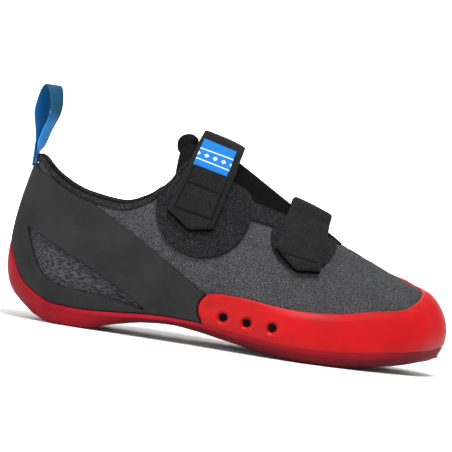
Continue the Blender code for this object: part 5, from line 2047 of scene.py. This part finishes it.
@dataclass(frozen=True)
class PullLoop:
    """The blue tape at the heel: folded to a loop, sewn in above the rand and half twisted."""

    last: Last
    width: float = 10.0 * MM
    thickness: float = 1.2 * MM
    height: float = 45.2 * MM
    clearance: float = 0.3 * MM
    rand_seat: float = 0.6 * MM
    binding_thickness: float = 3.6 * MM
    wall: float = 2.0 * MM
    seam: float = 0.45 * MM
    tucked: float = 2.5 * MM

    def build(self) -> None:
        """Make the tape."""
        zero = np.array([0.0])
        top = self.last.on_rib(zero, Rands(self.last).band_line)
        foot_z = self.last.skin(zero, top, np.array([self.rand_seat]))[0, 2] + self.seam
        behind = self.last.rib(zero, np.ones(1))[0, 0] - 0.5 * (self.binding_thickness - self.wall)
        middle_x = behind - self.clearance - LOOP[0].forward * MM - 0.5 * self.thickness
        rows = np.array(LOOP)
        path = np.stack([middle_x + rows[:, 1] * MM, rows[:, 2] * MM, foot_z + rows[:, 0] * self.height],
                        axis=-1)
        path[[0, -1], 2] -= self.tucked
        turns = np.radians(rows[:, 3])
        fine = np.linspace(0.0, len(path) - 1.0, 210)
        middle = np.stack([catmull(path[:, n], fine) for n in range(3)], axis=-1)
        turn = catmull(turns, fine)
        way = np.stack([np.cos(turn), np.sin(turn), np.zeros_like(turn)], axis=-1)
        course = unit(np.gradient(middle, axis=0))
        deep = unit(np.cross(course, way))
        half, thin = 0.5 * self.width, 0.5 * self.thickness
        flat = half - thin
        round_end = np.radians(np.linspace(-90.0, 90.0, 7))
        right = np.stack([flat + thin * np.cos(round_end), thin * np.sin(round_end)], axis=-1)
        inner = np.stack([np.linspace(flat, -flat, 9)[1:-1], np.full(7, thin)], axis=-1)
        outline = np.concatenate([right, inner, -right, -inner])
        sections = (middle[:, None] + way[:, None] * outline[None, :, :1]
                    + deep[:, None] * outline[None, :, 1:])
        make_object("pull_loop_tape", tube(sections), BLUE_TAPE.make(), ("pull_loop",))


# The studio

class Lamp(NamedTuple):
    """A square soft light: where it is, its side, its power in watts, and its target if not the shoe."""

    name: str
    at: tuple[float, float, float]
    size: float
    power: float
    target: tuple[float, float, float] | None = None


LAMPS = (
    Lamp("key_light", (0.30, -0.60, 1.40), 0.7, 27.0),
    Lamp("fill_light", (-0.7, -1.4, 0.65), 1.4, 6.5),
    Lamp("heel_light", (-1.2, -0.6, 0.45), 0.9, 8.0),
    Lamp("back_light", (-0.3, 0.9, 1.3), 1.3, 2.5),
    Lamp("paper_light", (0.1, 0.7, 0.9), 1.5, 45.0, (0.1, 3.0, 0.5)),
)


@dataclass(frozen=True)
class Studio:
    """Camera, pale floor and soft lights.

    Attributes:
        centre: The point that the camera looks at.
        width: Width of the picture at that point.
        lens: Focal length in millimetres.
        sensor: Width of the sensor in millimetres.
        elevation: How far down the camera looks, in degrees.
        roll: How far the picture is turned, in degrees.
        floor_near: Where the floor begins, along Y.
        floor_bend: Where it begins to curve up.
        floor_radius: Radius of that curve.
        floor_top: Its height behind the shoe, and half its width.
        ambient: Strength of the light from all around.
    """

    centre: tuple[float, float, float] = (84.75 * MM, 0.0, 69.7 * MM)
    width: float = 262.8 * MM
    lens: float = 300.0
    sensor: float = 36.0
    elevation: float = 2.0
    roll: float = 8.6
    floor_near: float = -4.0
    floor_bend: float = 1.2
    floor_radius: float = 1.0
    floor_top: float = 6.0
    ambient: float = 0.5

    def camera(self) -> None:
        """The long lens that looks across the shoe, rolled as in the photograph."""
        distance = self.width * self.lens / self.sensor
        data = bpy.data.cameras.new("camera")
        data.lens, data.sensor_width = self.lens, self.sensor
        data.clip_end = 20.0
        made = bpy.data.objects.new("camera", data)
        bpy.context.scene.collection.objects.link(made)
        lift = math.radians(self.elevation)
        centre = Vector(self.centre)
        made.location = centre + Vector((0.0, -math.cos(lift), math.sin(lift))) * distance
        look = (centre - made.location).to_track_quat("-Z", "Y").to_matrix().to_4x4()
        turned = look @ Matrix.Rotation(math.radians(self.roll), 4, "Z")
        made.rotation_euler = turned.to_euler()
        bpy.context.scene.camera = made

    def floor(self) -> None:
        """A wide pale floor that curves up behind the shoe."""
        finish = Shade("white_studio_paper")
        finish.set(Base_Color=linear(0xF4F4F4), Roughness=0.85, Specular_IOR_Level=0.2)
        bend, radius = self.floor_bend, self.floor_radius
        curve = [(bend + radius * math.sin(a), radius - radius * math.cos(a))
                 for a in np.linspace(0.0, 0.5 * math.pi, 16)]
        profile = [(self.floor_near, 0.0)] + curve + [(bend + radius, self.floor_top)]
        grid = np.array([[(x, y, z) for x in (-self.floor_top, self.floor_top)] for y, z in profile])
        mesh = bpy.data.meshes.new("studio_floor")
        mesh.from_pydata(grid.reshape(-1, 3).tolist(), [], grid_faces(len(profile), 2))
        mesh.shade_smooth()
        mesh.materials.append(finish.material)
        made = bpy.data.objects.new("studio_floor", mesh)
        bpy.context.scene.collection.objects.link(made)

    def light(self, lamp: Lamp) -> None:
        """Set a lamp up, facing its target or the shoe."""
        data = bpy.data.lights.new(lamp.name, "AREA")
        data.shape, data.size, data.energy = "SQUARE", lamp.size, lamp.power
        made = bpy.data.objects.new(lamp.name, data)
        made.location = lamp.at
        way = Vector(lamp.target or self.centre) - Vector(lamp.at)
        made.rotation_euler = way.to_track_quat("-Z", "Y").to_euler()
        bpy.context.scene.collection.objects.link(made)

    def build(self) -> None:
        """Set the studio up."""
        bpy.context.scene.view_settings.view_transform = "Standard"
        self.camera()
        self.floor()
        for lamp in LAMPS:
            self.light(lamp)
        world = bpy.data.worlds.new("studio")
        world.use_nodes = True
        background = world.node_tree.nodes["Background"]
        background.inputs["Color"].default_value = linear(0xFFFFFF)
        background.inputs["Strength"].default_value = self.ambient
        bpy.context.scene.world = world


def main() -> None:
    """Build the shoe and the studio around it."""
    logging.basicConfig(level=logging.INFO, format="%(message)s")
    last = Last()
    for piece in (Upper, Outsole, Insole, Rands, LoopPatch, ThroatTrim, Tongue, Straps, CollarBinding,
                  PullLoop):
        piece(last).build()
    Studio().build()


if __name__ == "__main__":
    main()
